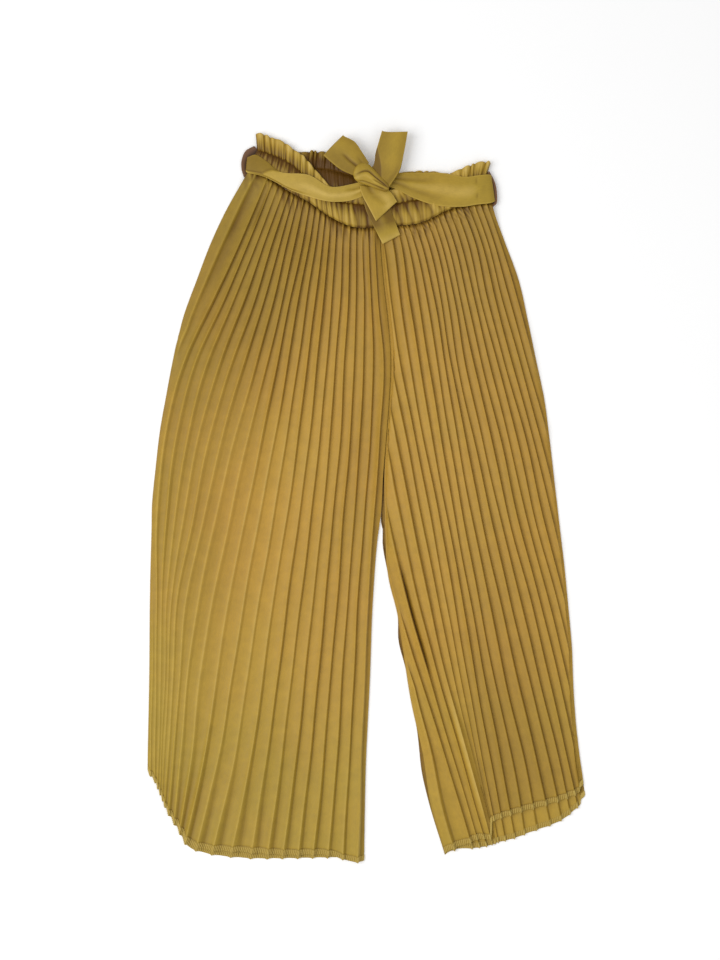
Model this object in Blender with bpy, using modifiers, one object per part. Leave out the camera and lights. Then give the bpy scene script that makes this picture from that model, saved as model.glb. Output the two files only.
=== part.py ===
"""Women's palazzo pants in accordion-pleated satin, laid flat with the front facing up.

Tables and named sizes are in millimetres and meshes in metres. X runs across the garment with the
wearer's left leg at +X, Y runs up it from the hems to the waist, and Z is the height above the
surface that it lies on. Each leg is a tube pressed flat, so it has a front panel that lies on its
back panel. The pleated legs hang from a gathered elastic casing with a ruffle heading, and a sash
passes through two narrow carriers and is tied in a bow in front.
"""
import bpy
import numpy as np

MM = 0.001

# Cloth, seams and the heights at which the layers lie.
CLOTH = 1.5                 # wall of a pleated or gathered piece
RIBBON = 1.4                # wall of the sash, which is cloth sewn double
SEAM = 0.35                 # gap between two pieces that are sewn together
LEG_SEAM = 0.53             # and how far a leg panel ends below the line of the casing's seam
BACK_VALLEY = 1.2           # top of a back panel in the valleys of its pleats, its underside flat
BACK_RISE = 1.2             # how far the back panel's ridges stand above its valleys
FRONT_EDGE = 3.1            # top of a front panel along its side seams
FRONT_SWELL = 1.1           # how much higher a front panel's valleys lie away from its sides
EDGE_FADE = 6.0             # distance from a side seam over which pleats and swell fade out
SEAM_CLIMB = 25.0           # distance from the centre seam over which the front climbs to it
BACK_LIFT = 1.45            # how far the sash under it lifts the underside of a back panel's top end
BACK_CASING = 3.2           # top of the back casing in the valleys of its gathers
FRONT_CASING = 6.7          # top of the front casing in the valleys of its gathers
CASING_RISE = 1.3           # height of a gather on the casings
LIFT_LENGTH = 45.0          # length over which a leg panel climbs to the casing that it hangs from

# Pleats. A ridge stands beside the valley that lies on its outward or inward side, so that each
# pleat has a steep face and a long one, and they even out where the pleats open at the hem.
PLEAT_SLOPE = 0.3           # height of a pleat for each millimetre between two valleys
PLEAT_RISE = 4.0            # height of the tallest pleats
PRESSED = 0.5               # share of their height that the pleats keep where the casing holds them
RIDGE_AT_WAIST = 0.33       # where in a pleat its ridge stands at the waist
RIDGE_AT_HEM = 0.45         # and at the hem
HEM_POINT = 1.4             # how far the hem points down at each ridge
PLEAT_ROOM = 0.7            # least width that a pleat keeps where it turns under at a side seam
EDGE_PLEATS = 2.0           # number of pleats over which the lines are drawn in to the side seams
LIFT_ROW = 0.052            # share of a panel's length at its second row, where that climb starts
LEG_ROWS = 13               # rows of points down a leg panel
HEM_ROUNDS = 6              # times that rows are moved until hem, seam and pleat lines agree

CASING_GATHERS = 32
GATHER_POINTS = 2           # columns of points to a gather
RUFFLE_WAVES = 20
WAVE_POINTS = 3             # columns of points to a ruffle wave
WAIST_ROWS = 3              # rows of points down a casing or a ruffle
RUFFLE_LIFT = 0.8           # how much higher the front ruffle's free edge lies than its pinched line

GOLD_CLOTH = (0.42, 0.27, 0.07, 1.0)
GOLD_SASH = (0.46, 0.31, 0.09, 1.0)
SATIN_ROUGHNESS = 0.55

# The legs' outlines. "inner" is the centre seam above the crotch and the inseam below it, "outer"
# the side seam, both as distances from the garment's middle line. "seam height" is how high the
# front panel's top lies at the inner seam: the wearer's right front rides over the left one.
RIGHT_OUTLINE = {
    "height": (430, 410, 390, 337, 285, 232, 179, 126, 73, 21, -19, -59, -138, -243, -349, -500),
    "inner": (-18, -18, -18, -18, -22, -28, -32, -30, -26, -22, -20, -15, -9, -5, 0, 3),
    "outer": (153, 165, 177, 203, 223, 242, 253, 263, 272, 278, 282, 283, 285, 286, 288, 288),
    "seam height": (7.0, 7.0, 7.0, 6.8, 6.8, 6.8, 6.8, 6.8, 6.4, 5.4, 3.5, 3.1, 3.1, 3.1, 3.1, 3.1),
}
LEFT_OUTLINE = {
    "height": (430, 385, 337, 285, 232, 179, 126, 73, 21, -32, -111, -155, -199, -270, -342, -402, -500),
    "inner": (18, 18, 18, 22, 28, 32, 30, 26, 24, 25, 30, 41, 48, 59, 75, 84, 112),
    "outer": (165, 166, 182, 201, 213, 224, 235, 242, 248, 254, 263, 267, 271, 274, 280, 288, 289),
    "seam height": (5.2, 5.1, 4.9, 4.9, 4.9, 4.9, 4.9, 4.5, 3.6, 3.1, 3.1, 3.1, 3.1, 3.1, 3.1, 3.1, 3.1),
}
# How far the left back panel shows beyond the front one along the inseam.
LEFT_BACK_SHOWS = {
    "height": (430, -20, -60, -100, -160, -190, -230, -300, -360, -400, -460, -500),
    "width": (0, 0, 4, 0, 0, 4, 0, 0, 5, 2, 0, 0),
}

# The valley lines between the pleats, numbered from the inner seam outwards. A row is a height and
# a column one of the lines, as distances from the middle line. A line may run out beyond a side
# seam: there the pleat turns under.
RIGHT_PLEATS = {
    "height": (417, 337, 258, 179, 73, -32, -138, -243, -349, -500),
    1: (-11, -12, -17, -24, -19, -12, -4, 0, 4, 8),
    4: (8, 12, 12, 15, 20, 29, 37, 46, 54, 68),
    8: (41, 48, 55, 63, 74, 87, 102, 115, 128, 147),
    12: (68, 82, 99, 114, 135, 156, 177, 194, 209, 242),
    14: (82, 102, 120, 141, 169, 193, 216, 232, 240, 258),
    16: (94, 121, 145, 172, 202, 224, 246, 252, 259, 269),
    19: (120, 152, 185, 219, 246, 260, 267, 269, 272, 276),
}
LEFT_PLEATS = {
    "height": (403, 337, 258, 179, 73, -32, -138, -243, -349, -500),
    2: (-48, -40, -32, -21, -5, 16, 41, 74, 107, 152),
    5: (-21, -5, 7, 20, 42, 62, 84, 108, 137, 178),
    8: (18, 36, 46, 58, 77, 98, 117, 135, 154, 184),
    11: (37, 63, 81, 94, 111, 129, 150, 170, 194, 220),
    14: (63, 90, 108, 120, 143, 166, 191, 216, 242, 275),
    17: (90, 115, 134, 152, 178, 201, 230, 255, 279, 309),
    20: (117, 143, 161, 182, 211, 235, 263, 290, 317, 355),
    24: (153, 176, 200, 222, 251, 280, 309, 338, 368, 410),
}
# The hems, as heights at the pleats' valley lines.
RIGHT_HEM = {
    "pleat": (0, 1.5, 3, 6, 9, 11, 12, 13, 14, 16, 18, 20, 22),
    "front": (-480, -482, -474, -473, -469, -465, -459, -445, -433, -411, -394, -378, -361),
    "back": (-477, -477, -477, -478, -477, -470, -463, -449, -436, -412, -395, -379, -362),
}
LEFT_HEM = {
    "pleat": (0, 1, 2, 3.5, 5, 6, 8, 10, 12, 14, 16, 18, 21, 25),
    "front": (-473, -463, -456, -452, -451, -435, -428, -420, -411, -402, -393, -385, -382, -379),
    "back": (-474, -466, -465, -463, -460, -459, -457, -451, -440, -427, -410, -400, -398, -395),
}
# The largest folds of the left front: the pleat line and height of each fold's middle, the number
# of pleats and the length to either side that it takes in, and how far it stands up.
LEFT_FOLDS = {
    "pleat": (2.6, 5.5),
    "height": (-165, -370),
    "pleats": (1.2, 1.0),
    "length": (110, 170),
    "rise": (1.4, 1.6),
}

# The waist, a row for each station across it: the ruffle's free edge, the pinched line where the
# ruffle meets the casing, and the seam from the casing to the legs. "wave" is half the height of
# the ruffle's waves, which are pressed low where the sash lies on them.
FRONT_WAIST = {
    "edge x": (-145, -125, -99, -74, -46, -12, 32, 71, 110, 139, 164),
    "edge y": (477, 472, 459, 438, 407, 401, 402, 409, 423, 436, 440),
    "pinch x": (-143, -124, -99, -75, -48, -12, 32, 71, 110, 137, 157),
    "pinch y": (456, 450, 438, 417, 392, 385, 385, 392, 403, 414, 419),
    "seam x": (-155, -132, -104, -75, -46, -13, 30, 71, 108, 138, 164),
    "seam y": (425, 413, 400, 386, 366, 353, 355, 359, 376, 384, 386),
    "wave": (1.6, 2.0, 2.2, 2.0, 1.2, 0.8, 0.8, 0.8, 0.9, 1.6, 1.6),
}
BACK_WAIST = {
    "edge x": (-144, -120, -90, -67, -45, -12, 32, 77, 107, 136, 161),
    "edge y": (475, 469, 454, 454, 451, 440, 426, 428, 425, 432, 438),
    "pinch x": (-143, -121, -91, -69, -46, -12, 32, 74, 107, 135, 157),
    "pinch y": (455, 450, 435, 432, 430, 421, 409, 409, 406, 411, 418),
    "seam x": (-156, -129, -96, -69, -44, -12, 32, 73, 107, 137, 165),
    "seam y": (419, 411, 401, 395, 392, 384, 377, 377, 380, 384, 385),
    "wave": (0.8, 1.0, 1.2, 1.2, 1.0, 0.8, 0.8, 1.0, 0.8, 0.8, 0.8),
}

# The sash and its bow. Each is a ribbon through sections: one edge (x, y), the other edge (x, y)
# and the height of its middle surface, with the rows in the order in which the ribbon runs.
SASH_SECTIONS = {
    "sash_back": (
        (-156.6, 446, -158.4, 428, 0.7),
        (-100, 431, -102, 407, 0.7),
        (-55, 425, -57, 399, 0.7),
        (0, 415, 0, 389, 0.7),
        (60, 404, 58, 382, 0.7),
        (112, 403, 112, 382, 0.7),
        (165, 422, 169.8, 389, 0.7),
    ),
    "sash_front_right": (
        (-156.8, 446.5, -158.8, 428.5, 1.8),
        (-156.8, 446.6, -158.6, 428, 5.8),
        (-154.4, 447.6, -155.6, 425.8, 8.8),
        (-145, 450, -138, 422, 9.3),
        (-132, 444, -119, 413, 9.2),
        (-110, 429, -99, 403, 9.2),
        (-74, 418, -74, 394, 9.2),
        (-45, 407, -48, 388, 9.2),
        (-20, 411, -22, 389, 9.2),
        (0, 417, -2, 396, 9.2),
        (9, 419, 8, 401, 9.2),
    ),
    "sash_front_left": (
        (14, 427, 14, 411, 9.2),
        (45, 426, 38, 405, 9.2),
        (70, 426, 62, 393, 9.2),
        (100, 426, 92, 383, 9.2),
        (129, 421, 125, 381, 9.2),
        (148, 423, 146, 384, 9.6),
        (161, 424, 163, 385.8, 9.1),
        (165, 422.8, 169.8, 388.2, 6.2),
        (165.2, 422.4, 170, 388.6, 1.8),
    ),
    "bow_loop_right": (
        (-17.0, 422.8, 4.0, 439.0, 13.4),
        (-33, 430, -5, 453, 13.2),
        (-46, 440, -15, 467, 13.4),
        (-54, 447, -28, 474, 13.8),
        (-55.6, 448.4, -29.6, 475.4, 14.6),
        (-56.2, 449, -30.2, 476, 16.0),
        (-55.6, 448.4, -29.6, 475.4, 17.4),
        (-54, 447, -28, 474, 18.2),
        (-46, 440, -15, 467, 18.4),
        (-33, 430, -5, 453, 18.0),
        (-17.0, 422.8, 4.0, 439.0, 17.8),
    ),
    "bow_loop_left": (
        (11.2, 439.6, 35.8, 414.6, 13.4),
        (13, 452, 45, 430, 13.2),
        (17, 468, 50, 452, 13.4),
        (20.6, 480, 54.6, 478, 13.8),
        (20.9, 481.5, 54.9, 479.5, 14.6),
        (21, 482, 55, 480, 16.0),
        (20.9, 481.5, 54.9, 479.5, 17.4),
        (20.6, 480, 54.6, 478, 18.2),
        (17, 468, 50, 452, 18.4),
        (13, 452, 45, 430, 18.0),
        (11.2, 439.6, 35.8, 414.6, 17.8),
    ),
    "bow_tail_upper": (
        (-9, 410, 28, 405, 11.4),
        (-5, 396, 34, 399, 12.0),
        (3, 381, 38, 393, 12.4),
        (13, 362, 41, 388, 12.2),
    ),
    "bow_tail_lower": (
        (-4, 392, 28, 388, 9.6),
        (0, 376, 32, 378, 9.8),
        (10, 355, 38, 363, 9.8),
        (22, 332, 45, 344, 9.6),
    ),
    "carrier_right": (
        (-143.8, 458.6, -148.6, 461, 5.2),
        (-155.6, 451.8, -159.2, 454.2, 5.2),
        (-161, 441, -164.8, 442, 5.2),
        (-161.8, 431, -165.6, 430.4, 5.2),
        (-158.3, 421.4, -160.9, 419.0, 5.2),
    ),
    "carrier_left": (
        (159.9, 425.6, 161.5, 429, 5.2),
        (167.6, 422.4, 171, 425, 5.2),
        (170.6, 411, 174.2, 412, 5.2),
        (172.4, 397, 176.2, 397, 5.2),
        (172, 388.6, 175.6, 387, 5.2),
        (166.7, 384.4, 168.9, 381.6, 5.2),
    ),
}
RIBBON_ROWS = 3             # rows of points between two sections of a ribbon
RIBBON_COLUMNS = 4          # points across a ribbon
RIBBON_CROWN = 0.5          # how far the middle of a ribbon stands above its edges
FLAT_RIBBONS = ("sash_back", "carrier_right", "carrier_left")

KNOT_CENTRE = (12.0, 418.5, 17.0)
KNOT_RADII = (21.5, 13.5, 6.0)
KNOT_TURN = np.radians(-32)
KNOT_SEGMENTS, KNOT_RINGS = 24, 12
KNOT_WRAP = 0.07            # depth of the grooves between the turns of ribbon, as a share of its radius
KNOT_WRAPS = 3              # turns of ribbon along the knot
KNOT_SLANT = 0.35           # how far the grooves lean along it from one side of the knot to the other


def smooth(at, knots, values):
    """Read a smooth curve through the values at the knots; further axes of values follow `at`."""
    at, knots, values = (np.asarray(a, float) for a in (at, knots, values))
    slopes = np.gradient(values, knots, axis=0)
    start = np.clip(np.searchsorted(knots, at, side="right") - 1, 0, len(knots) - 2)
    span = knots[start + 1] - knots[start]
    t = np.clip((at - knots[start]) / span, 0, 1)

    def pick(table, index):
        if table.ndim == 1:
            return table[index]
        return np.take_along_axis(table, index[None], axis=0)[0]

    return (
        (2 * t**3 - 3 * t**2 + 1) * pick(values, start)
        + (t**3 - 2 * t**2 + t) * span * pick(slopes, start)
        + (3 * t**2 - 2 * t**3) * pick(values, start + 1)
        + (t**3 - t**2) * span * pick(slopes, start + 1)
    )


def by_height(table, column, height):
    """A column of a table whose rows run downwards, read at a height."""
    return smooth(-height, -np.array(table["height"], float), table[column])


def ease(t):
    """A soft step from 0 to 1."""
    t = np.clip(t, 0, 1)
    return t * t * (3 - 2 * t)


def pleat_places(table, outline, pleat, height, pleats, back_shows):
    """How far out from the middle line a pleat runs at each height.

    The lines between those of the table are read across it. Each keeps its least room from the
    seams, and the first and last pleats are drawn in to end on them.
    """
    guides = [key for key in table if key != "height"]
    lines = np.stack([by_height(table, guide, height) for guide in guides])
    beyond = np.maximum(pleat - guides[-1], 0) * (lines[-1] - lines[-2]) / (guides[-1] - guides[-2])
    before = np.maximum(guides[0] - pleat, 0) * (lines[1] - lines[0]) / (guides[1] - guides[0])
    free = smooth(np.clip(pleat, guides[0], guides[-1]), guides, lines) + beyond - before
    inner = by_height(outline, "inner", height) - back_shows
    outer = by_height(outline, "outer", height)
    out = np.clip(free, inner + PLEAT_ROOM * pleat, outer - PLEAT_ROOM * (pleats - pleat))
    out += (inner - out[:, :1]) * ease(1 - pleat / EDGE_PLEATS)
    out += (outer - out[:, -1:]) * ease(1 - (pleats - pleat) / EDGE_PLEATS)
    return np.maximum.accumulate(out - PLEAT_ROOM * pleat, axis=1) + PLEAT_ROOM * pleat


def seam_height(waist, x):
    """The height of the seam from the casing to a leg, along the same curve as the casing's edge."""
    stations = np.linspace(0, len(waist["seam x"]) - 1, 200)
    rows = np.arange(len(waist["seam x"]))
    return np.interp(x, smooth(stations, rows, waist["seam x"]), smooth(stations, rows, waist["seam y"]))


def leg_grid(side, outline, table, hem, waist, pleats, layer):
    """The top of one leg panel as (x, y, z) on a grid, and its underside where it lies on the floor.

    side is -1 for the wearer's right leg. Rows run from the waist seam to the hem, and the columns
    are the valleys and ridges of the pleats in turn, from the inner seam to the outer one.
    """
    down = np.append(0, np.linspace(LIFT_ROW, 1, LEG_ROWS - 1))[:, None]
    ridge = RIDGE_AT_WAIST + (RIDGE_AT_HEM - RIDGE_AT_WAIST) * down
    if side > 0:
        ridge = 1 - ridge
    count = np.arange(2 * pleats + 1)
    is_ridge = count % 2 == 1
    pleat = np.where(is_ridge, count // 2 + ridge, count / 2)

    hem_height = smooth(pleat[-1], hem["pleat"], hem[layer]) - HEM_POINT * is_ridge
    height = np.full_like(pleat, np.mean(waist["seam y"]))
    for _ in range(HEM_ROUNDS):
        shows = 0.0
        if layer == "back" and side > 0:
            shows = by_height(LEFT_BACK_SHOWS, "width", height)
        out = pleat_places(table, outline, pleat, height, pleats, shows)
        top = seam_height(waist, side * out[0]) - LEG_SEAM
        height = top + (hem_height - top) * down

    x = side * out
    pitch = np.gradient(out, axis=1) * 2
    to_inner, to_outer = out - out[:, :1], out[:, -1:] - out
    fade = ease((to_inner - shows) / EDGE_FADE) * ease(to_outer / EDGE_FADE)
    climb = ease(1 - (top - height) / LIFT_LENGTH)
    if layer == "back":
        x = x + side * SEAM / 2 * ease(1 - pleat) * (height > 0)
        under = BACK_LIFT * climb
        rise = np.minimum(BACK_RISE, PLEAT_SLOPE / 2 * pitch) * fade * is_ridge
        z = BACK_VALLEY + rise + under
        return np.stack([x, height, z], -1), np.stack([x, height, under], -1)

    inner_height = by_height(outline, "seam height", height)
    level = FRONT_EDGE + FRONT_SWELL * fade
    level = level + (FRONT_CASING - level) * climb * ease(to_inner / SEAM_CLIMB)
    level = level + (inner_height - FRONT_EDGE) * ease(1 - to_inner / SEAM_CLIMB)
    rise = np.minimum(PLEAT_RISE, PLEAT_SLOPE * pitch) * fade * is_ridge
    rise = rise * (1 - (1 - PRESSED) * climb)
    z = level + rise
    if side > 0:
        for at, middle, pleats_wide, length, lift in zip(*LEFT_FOLDS.values()):
            across = ease(1 - abs(pleat - at) / pleats_wide)
            along = ease(1 - abs(height - middle) / length)
            z = z + lift * across * along
    return np.stack([x, height, z], -1), None


def waist_grid(waist, part, level, waves, points, lift=0.0):
    """The casing or the ruffle of one side as (x, y, z) on a grid, from its upper edge down.

    A casing's gathers are ridges of one height. A ruffle's waves grow from nothing at the pinched
    line to their full height at its free edge.
    """
    across = np.arange(waves * points + 1) / points
    stations = np.linspace(0, waves, len(waist["seam x"]))
    lines = {name: smooth(across, stations, column) for name, column in waist.items()}
    upper, lower = ("pinch", "seam") if part == "casing" else ("edge", "pinch")
    down = np.linspace(0, 1, WAIST_ROWS)[:, None]
    x = lines[upper + " x"] + (lines[lower + " x"] - lines[upper + " x"]) * down
    y = lines[upper + " y"] + (lines[lower + " y"] - lines[upper + " y"]) * down
    if part == "casing":
        z = level + CASING_RISE * (0.5 - 0.5 * np.cos(2 * np.pi * across)) + 0 * down
        y = y - SEAM * (1 - down)
    else:
        z = level + lift * (1 - down) + lines["wave"] * (1 - down) * np.sin(2 * np.pi * across)
        y = y + SEAM * down
    return np.stack([x, y, z], -1)


def ribbon_grid(sections, rise):
    """A ribbon's middle surface as (x, y, z) on a grid, smooth along its run and crowned across."""
    sections = np.array(sections, float)
    run = np.linspace(0, len(sections) - 1, (len(sections) - 1) * RIBBON_ROWS + 1)
    stations = np.arange(len(sections))
    first_x, first_y, last_x, last_y, z = (smooth(run, stations, column)[:, None] for column in sections.T)
    across = np.linspace(0, 1, RIBBON_COLUMNS)
    x = first_x + (last_x - first_x) * across
    y = first_y + (last_y - first_y) * across
    crown = rise * np.sin(np.pi * across)
    return np.stack([x, y, z + crown], -1)


def satin(name, colour):
    """A satin material of one colour."""
    material = bpy.data.materials.new(name)
    material.use_nodes = True
    shader = material.node_tree.nodes["Principled BSDF"]
    shader.inputs["Base Color"].default_value = colour
    shader.inputs["Roughness"].default_value = SATIN_ROUGHNESS
    shader.inputs["Metallic"].default_value = 0.0
    return material


def add_piece(name, points, faces, colour):
    """A named mesh object in the garment's collection, with its own material."""
    mesh = bpy.data.meshes.new(name)
    mesh.from_pydata((points * MM).tolist(), [], faces.tolist())
    mesh.update()
    piece = bpy.data.objects.new(name, mesh)
    mesh.materials.append(satin(name + "_satin", colour))
    garment.objects.link(piece)
    return piece


def sheet_faces(rows, columns):
    """The quads of a grid whose rows run down the garment and whose columns run towards +X."""
    corner = (np.arange(rows - 1)[:, None] * columns + np.arange(columns - 1)).ravel()
    return np.stack([corner, corner + columns, corner + columns + 1, corner + 1], -1)


def add_sheet(name, grid, wall, colour, offset):
    """A sheet of cloth that gets its wall from Solidify, below the sheet or to both its sides."""
    rows, columns = grid.shape[:2]
    piece = add_piece(name, grid.reshape(-1, 3), sheet_faces(rows, columns), colour)
    solidify = piece.modifiers.new("Wall", "SOLIDIFY")
    solidify.thickness = wall * MM
    solidify.offset = offset
    return piece


def add_floor_panel(name, top, under, colour):
    """A panel whose pleated top and plain underside differ, so its wall is closed between them."""
    rows, columns = top.shape[:2]
    number = np.arange(rows * columns).reshape(rows, columns)
    upper = sheet_faces(rows, columns)
    lower = upper[:, ::-1] + rows * columns
    border = np.concatenate([number[:-1, 0], number[-1, :-1], number[:0:-1, -1], number[0, :0:-1]])
    after = np.roll(border, -1)
    walls = np.stack([border, border + rows * columns, after + rows * columns, after], -1)
    points = np.concatenate([top.reshape(-1, 3), under.reshape(-1, 3)])
    return add_piece(name, points, np.concatenate([upper, lower, walls]), colour)


def add_leg(side, name, outline, table, hem, pleats):
    """The front and the back panel of one leg."""
    front, _ = leg_grid(side, outline, table, hem, FRONT_WAIST, pleats, "front")
    back, under = leg_grid(side, outline, table, hem, BACK_WAIST, pleats, "back")
    if side < 0:
        front, back, under = front[:, ::-1], back[:, ::-1], under[:, ::-1]
    add_sheet(name + "_front", front, CLOTH, GOLD_CLOTH, -1)
    add_floor_panel(name + "_back", back, under, GOLD_CLOTH)


def add_waist(name, waist, casing_level, ruffle_lift):
    """The gathered casing and the ruffle heading of the front or the back."""
    casing = waist_grid(waist, "casing", casing_level, CASING_GATHERS, GATHER_POINTS)
    ruffle = waist_grid(waist, "ruffle", casing_level, RUFFLE_WAVES, WAVE_POINTS, ruffle_lift)
    add_sheet(name + "_casing", casing, CLOTH, GOLD_CLOTH, -1)
    add_sheet(name + "_ruffle", ruffle, CLOTH, GOLD_CLOTH, -1)


def add_knot():
    """The bow's knot: a rounded oblong with shallow grooves between the turns of ribbon."""
    bpy.ops.mesh.primitive_uv_sphere_add(segments=KNOT_SEGMENTS, ring_count=KNOT_RINGS, radius=1)
    knot = bpy.context.object
    knot.name = knot.data.name = "bow_knot"
    points = np.empty(len(knot.data.vertices) * 3)
    knot.data.vertices.foreach_get("co", points)
    points = points.reshape(-1, 3)
    place = points[:, 0] + KNOT_SLANT * points[:, 1]
    wraps = 1 - KNOT_WRAP * np.cos(KNOT_WRAPS * np.pi * place) * (points[:, 2] > 0)
    points = points * np.array(KNOT_RADII) * wraps[:, None]
    along, over = points[:, 0].copy(), points[:, 1].copy()
    points[:, 0] = along * np.cos(KNOT_TURN) - over * np.sin(KNOT_TURN)
    points[:, 1] = along * np.sin(KNOT_TURN) + over * np.cos(KNOT_TURN)
    knot.data.vertices.foreach_set("co", ((points + KNOT_CENTRE) * MM).ravel())
    knot.data.materials.append(satin("bow_knot_satin", GOLD_SASH))
    knot.data.shade_smooth()
    bpy.context.collection.objects.unlink(knot)
    garment.objects.link(knot)


for leftover in list(bpy.data.objects):
    bpy.data.objects.remove(leftover)
garment = bpy.data.collections.new("palazzo_pants")
bpy.context.scene.collection.children.link(garment)

add_leg(-1, "right_leg", RIGHT_OUTLINE, RIGHT_PLEATS, RIGHT_HEM, 22)
add_leg(1, "left_leg", LEFT_OUTLINE, LEFT_PLEATS, LEFT_HEM, 25)
add_waist("front", FRONT_WAIST, FRONT_CASING, RUFFLE_LIFT)
add_waist("back", BACK_WAIST, BACK_CASING, 0)
for ribbon, ribbon_sections in SASH_SECTIONS.items():
    crown_rise = 0 if ribbon in FLAT_RIBBONS else RIBBON_CROWN
    add_sheet(ribbon, ribbon_grid(ribbon_sections, crown_rise), RIBBON, GOLD_SASH, 0)
add_knot()
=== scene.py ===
"""Looks of the palazzo pants: pleated mustard satin, a gathered paperbag waist and a tied sash.

Lengths are in millimetres until a mesh is made, which turns them to metres. X runs across the
garment with the wearer's left leg at +X, Y runs up it from hems to waist, and Z is the height above
the floor. Tables have named columns. "Right" and "left" are the wearer's.
"""
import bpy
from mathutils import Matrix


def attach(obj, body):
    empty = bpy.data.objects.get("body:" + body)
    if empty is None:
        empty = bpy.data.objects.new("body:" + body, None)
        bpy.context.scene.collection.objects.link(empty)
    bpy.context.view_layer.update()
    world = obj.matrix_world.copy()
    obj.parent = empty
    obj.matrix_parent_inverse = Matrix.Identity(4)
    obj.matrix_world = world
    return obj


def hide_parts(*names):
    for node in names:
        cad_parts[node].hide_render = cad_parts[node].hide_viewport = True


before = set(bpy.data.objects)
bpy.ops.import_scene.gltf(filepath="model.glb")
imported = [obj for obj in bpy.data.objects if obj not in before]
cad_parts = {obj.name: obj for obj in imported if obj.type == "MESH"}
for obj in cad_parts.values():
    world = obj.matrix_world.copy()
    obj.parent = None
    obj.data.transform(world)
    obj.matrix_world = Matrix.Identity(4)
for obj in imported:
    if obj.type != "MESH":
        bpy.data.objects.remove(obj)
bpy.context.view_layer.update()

from types import SimpleNamespace

import bmesh
import bpy
import numpy as np
from mathutils import Vector

MM = 0.001


# ----------------------------------------------------------------------
# The leg panels. Each leg is a tube of woven polyester satin, heat-pressed into accordion pleats
# and pressed flat as it lies, so a front panel lies on a back panel. The pleats lean: each strip
# rises towards the wearer's left, ends in a crisp fold and drops into a dark tuck.

# "inner" is the centre seam above the crotch and the inseam below it, "outer" the side seam, both
# as distances from the middle line. "seam height" is the front panel's height at the inner seam.
RIGHT_OUTLINE = {
    "height": (430, 410, 390, 337, 285, 232, 179, 126, 73, 21, -19, -59, -138, -243, -349, -500),
    "inner": (-18, -18, -18, -18, -22, -28, -32, -30, -26, -22, -20, -15, -9, -5, 0, 3),
    "outer": (153, 165, 177, 203, 223, 242, 253, 263, 272, 278, 282, 283, 285, 286, 288, 288),
    "seam height": (7, 7, 7, 6.8, 6.8, 6.8, 6.8, 6.8, 6.4, 5.4, 3.5, 1.9, 1.7, 1.7, 1.7, 1.7),
}
LEFT_OUTLINE = {
    "height": (430, 385, 337, 285, 232, 179, 126, 73, 21, -32, -111, -155, -199, -270, -342, -402, -500),
    "inner": (18, 18, 18, 22, 28, 32, 30, 26, 24, 25, 30, 41, 48, 59, 75, 84, 112),
    "outer": (165, 166, 182, 201, 213, 224, 235, 242, 248, 254, 263, 267, 271, 274, 280, 288, 289),
    "seam height": (5.2, 5.1, 4.9, 4.9, 4.9, 4.9, 4.9, 4.5, 3.6, 2, 1.7, 1.7, 1.7, 1.7, 1.7, 1.7, 1.7),
}
# How far the left back panel shows beyond the front one along the inseam.
LEFT_BACK_SHOWS = {
    "height": (430, 90, 55, 21, -19, -34, -44, -60, -100, -160, -190, -230, -300, -360, -400, -460, -500),
    "width": (0, 0, 1.5, 2.2, 4.5, 5.5, 3.5, 4, 0, 0, 4, 0, 0, 5, 2, 0, 0),
}
# The valley lines between the pleats, numbered from the inner seam outwards.
RIGHT_PLEATS = {
    "height": (417, 337, 258, 179, 73, -32, -138, -243, -349, -500),
    1: (-11, -12, -17, -24, -19, -12, -4, 0, 4, 8),
    4: (8, 12, 12, 15, 20, 29, 37, 46, 54, 68),
    8: (41, 48, 55, 63, 74, 87, 102, 115, 128, 147),
    12: (68, 82, 99, 114, 135, 156, 177, 194, 209, 242),
    14: (82, 102, 120, 141, 169, 193, 216, 232, 240, 258),
    16: (94, 121, 145, 172, 202, 224, 246, 252, 259, 269),
    19: (120, 152, 185, 219, 246, 260, 267, 269, 272, 276),
}
LEFT_PLEATS = {
    "height": (403, 337, 258, 179, 73, -32, -138, -243, -349, -500),
    2: (-48, -40, -32, -21, -5, 16, 41, 74, 107, 152),
    5: (-21, -5, 7, 20, 42, 62, 84, 108, 137, 178),
    8: (18, 36, 46, 58, 77, 98, 117, 135, 154, 184),
    11: (37, 63, 81, 94, 111, 129, 150, 170, 194, 220),
    14: (63, 90, 108, 120, 143, 166, 191, 216, 242, 275),
    17: (90, 115, 134, 152, 178, 201, 230, 255, 279, 309),
    20: (117, 143, 161, 182, 211, 235, 263, 290, 317, 355),
    24: (153, 176, 200, 222, 251, 280, 309, 338, 368, 410),
}
# The hems, as heights at the pleats' valley lines.
RIGHT_HEM = {
    "pleat": (0, 1.5, 3, 6, 9, 11, 12, 13, 14, 16, 18, 20, 22),
    "front": (-480, -482, -474, -473, -469, -465, -459, -445, -433, -411, -394, -378, -361),
    "back": (-477, -477, -477, -478, -477, -470, -463, -449, -436, -412, -395, -379, -362),
    "points": (1.5, 1.5, 1.5, 1.5, 1.5, 1.5, 2, 3.5, 4, 4, 4, 4, 3),
}
LEFT_HEM = {
    "pleat": (0, 1, 2, 3.5, 5, 6, 8, 10, 12, 14, 16, 18, 21, 25),
    "front": (-473, -463, -456, -452, -451, -435, -428, -420, -411, -402, -393, -385, -382, -379),
    "back": (-474, -466, -465, -463, -460, -459, -457, -451, -440, -427, -410, -400, -398, -395),
    "points": (2, 2, 1.5, 1.5, 1.5, 1.5, 1.5, 1.5, 1.5, 1.5, 1.5, 1.5, 1.5, 1.5),
}
# The seams from the casings to the legs, as stations across the waist.
FRONT_SEAM = {
    "x": (-155, -132, -104, -75, -46, -13, 30, 71, 108, 138, 164),
    "y": (431, 421, 402, 386, 366, 353, 355, 359, 376, 384, 386),
}
BACK_SEAM = {
    "x": (-156, -129, -96, -69, -44, -12, 32, 73, 107, 137, 165),
    "y": (419, 411, 401, 395, 392, 384, 377, 377, 380, 384, 385),
}
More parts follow.
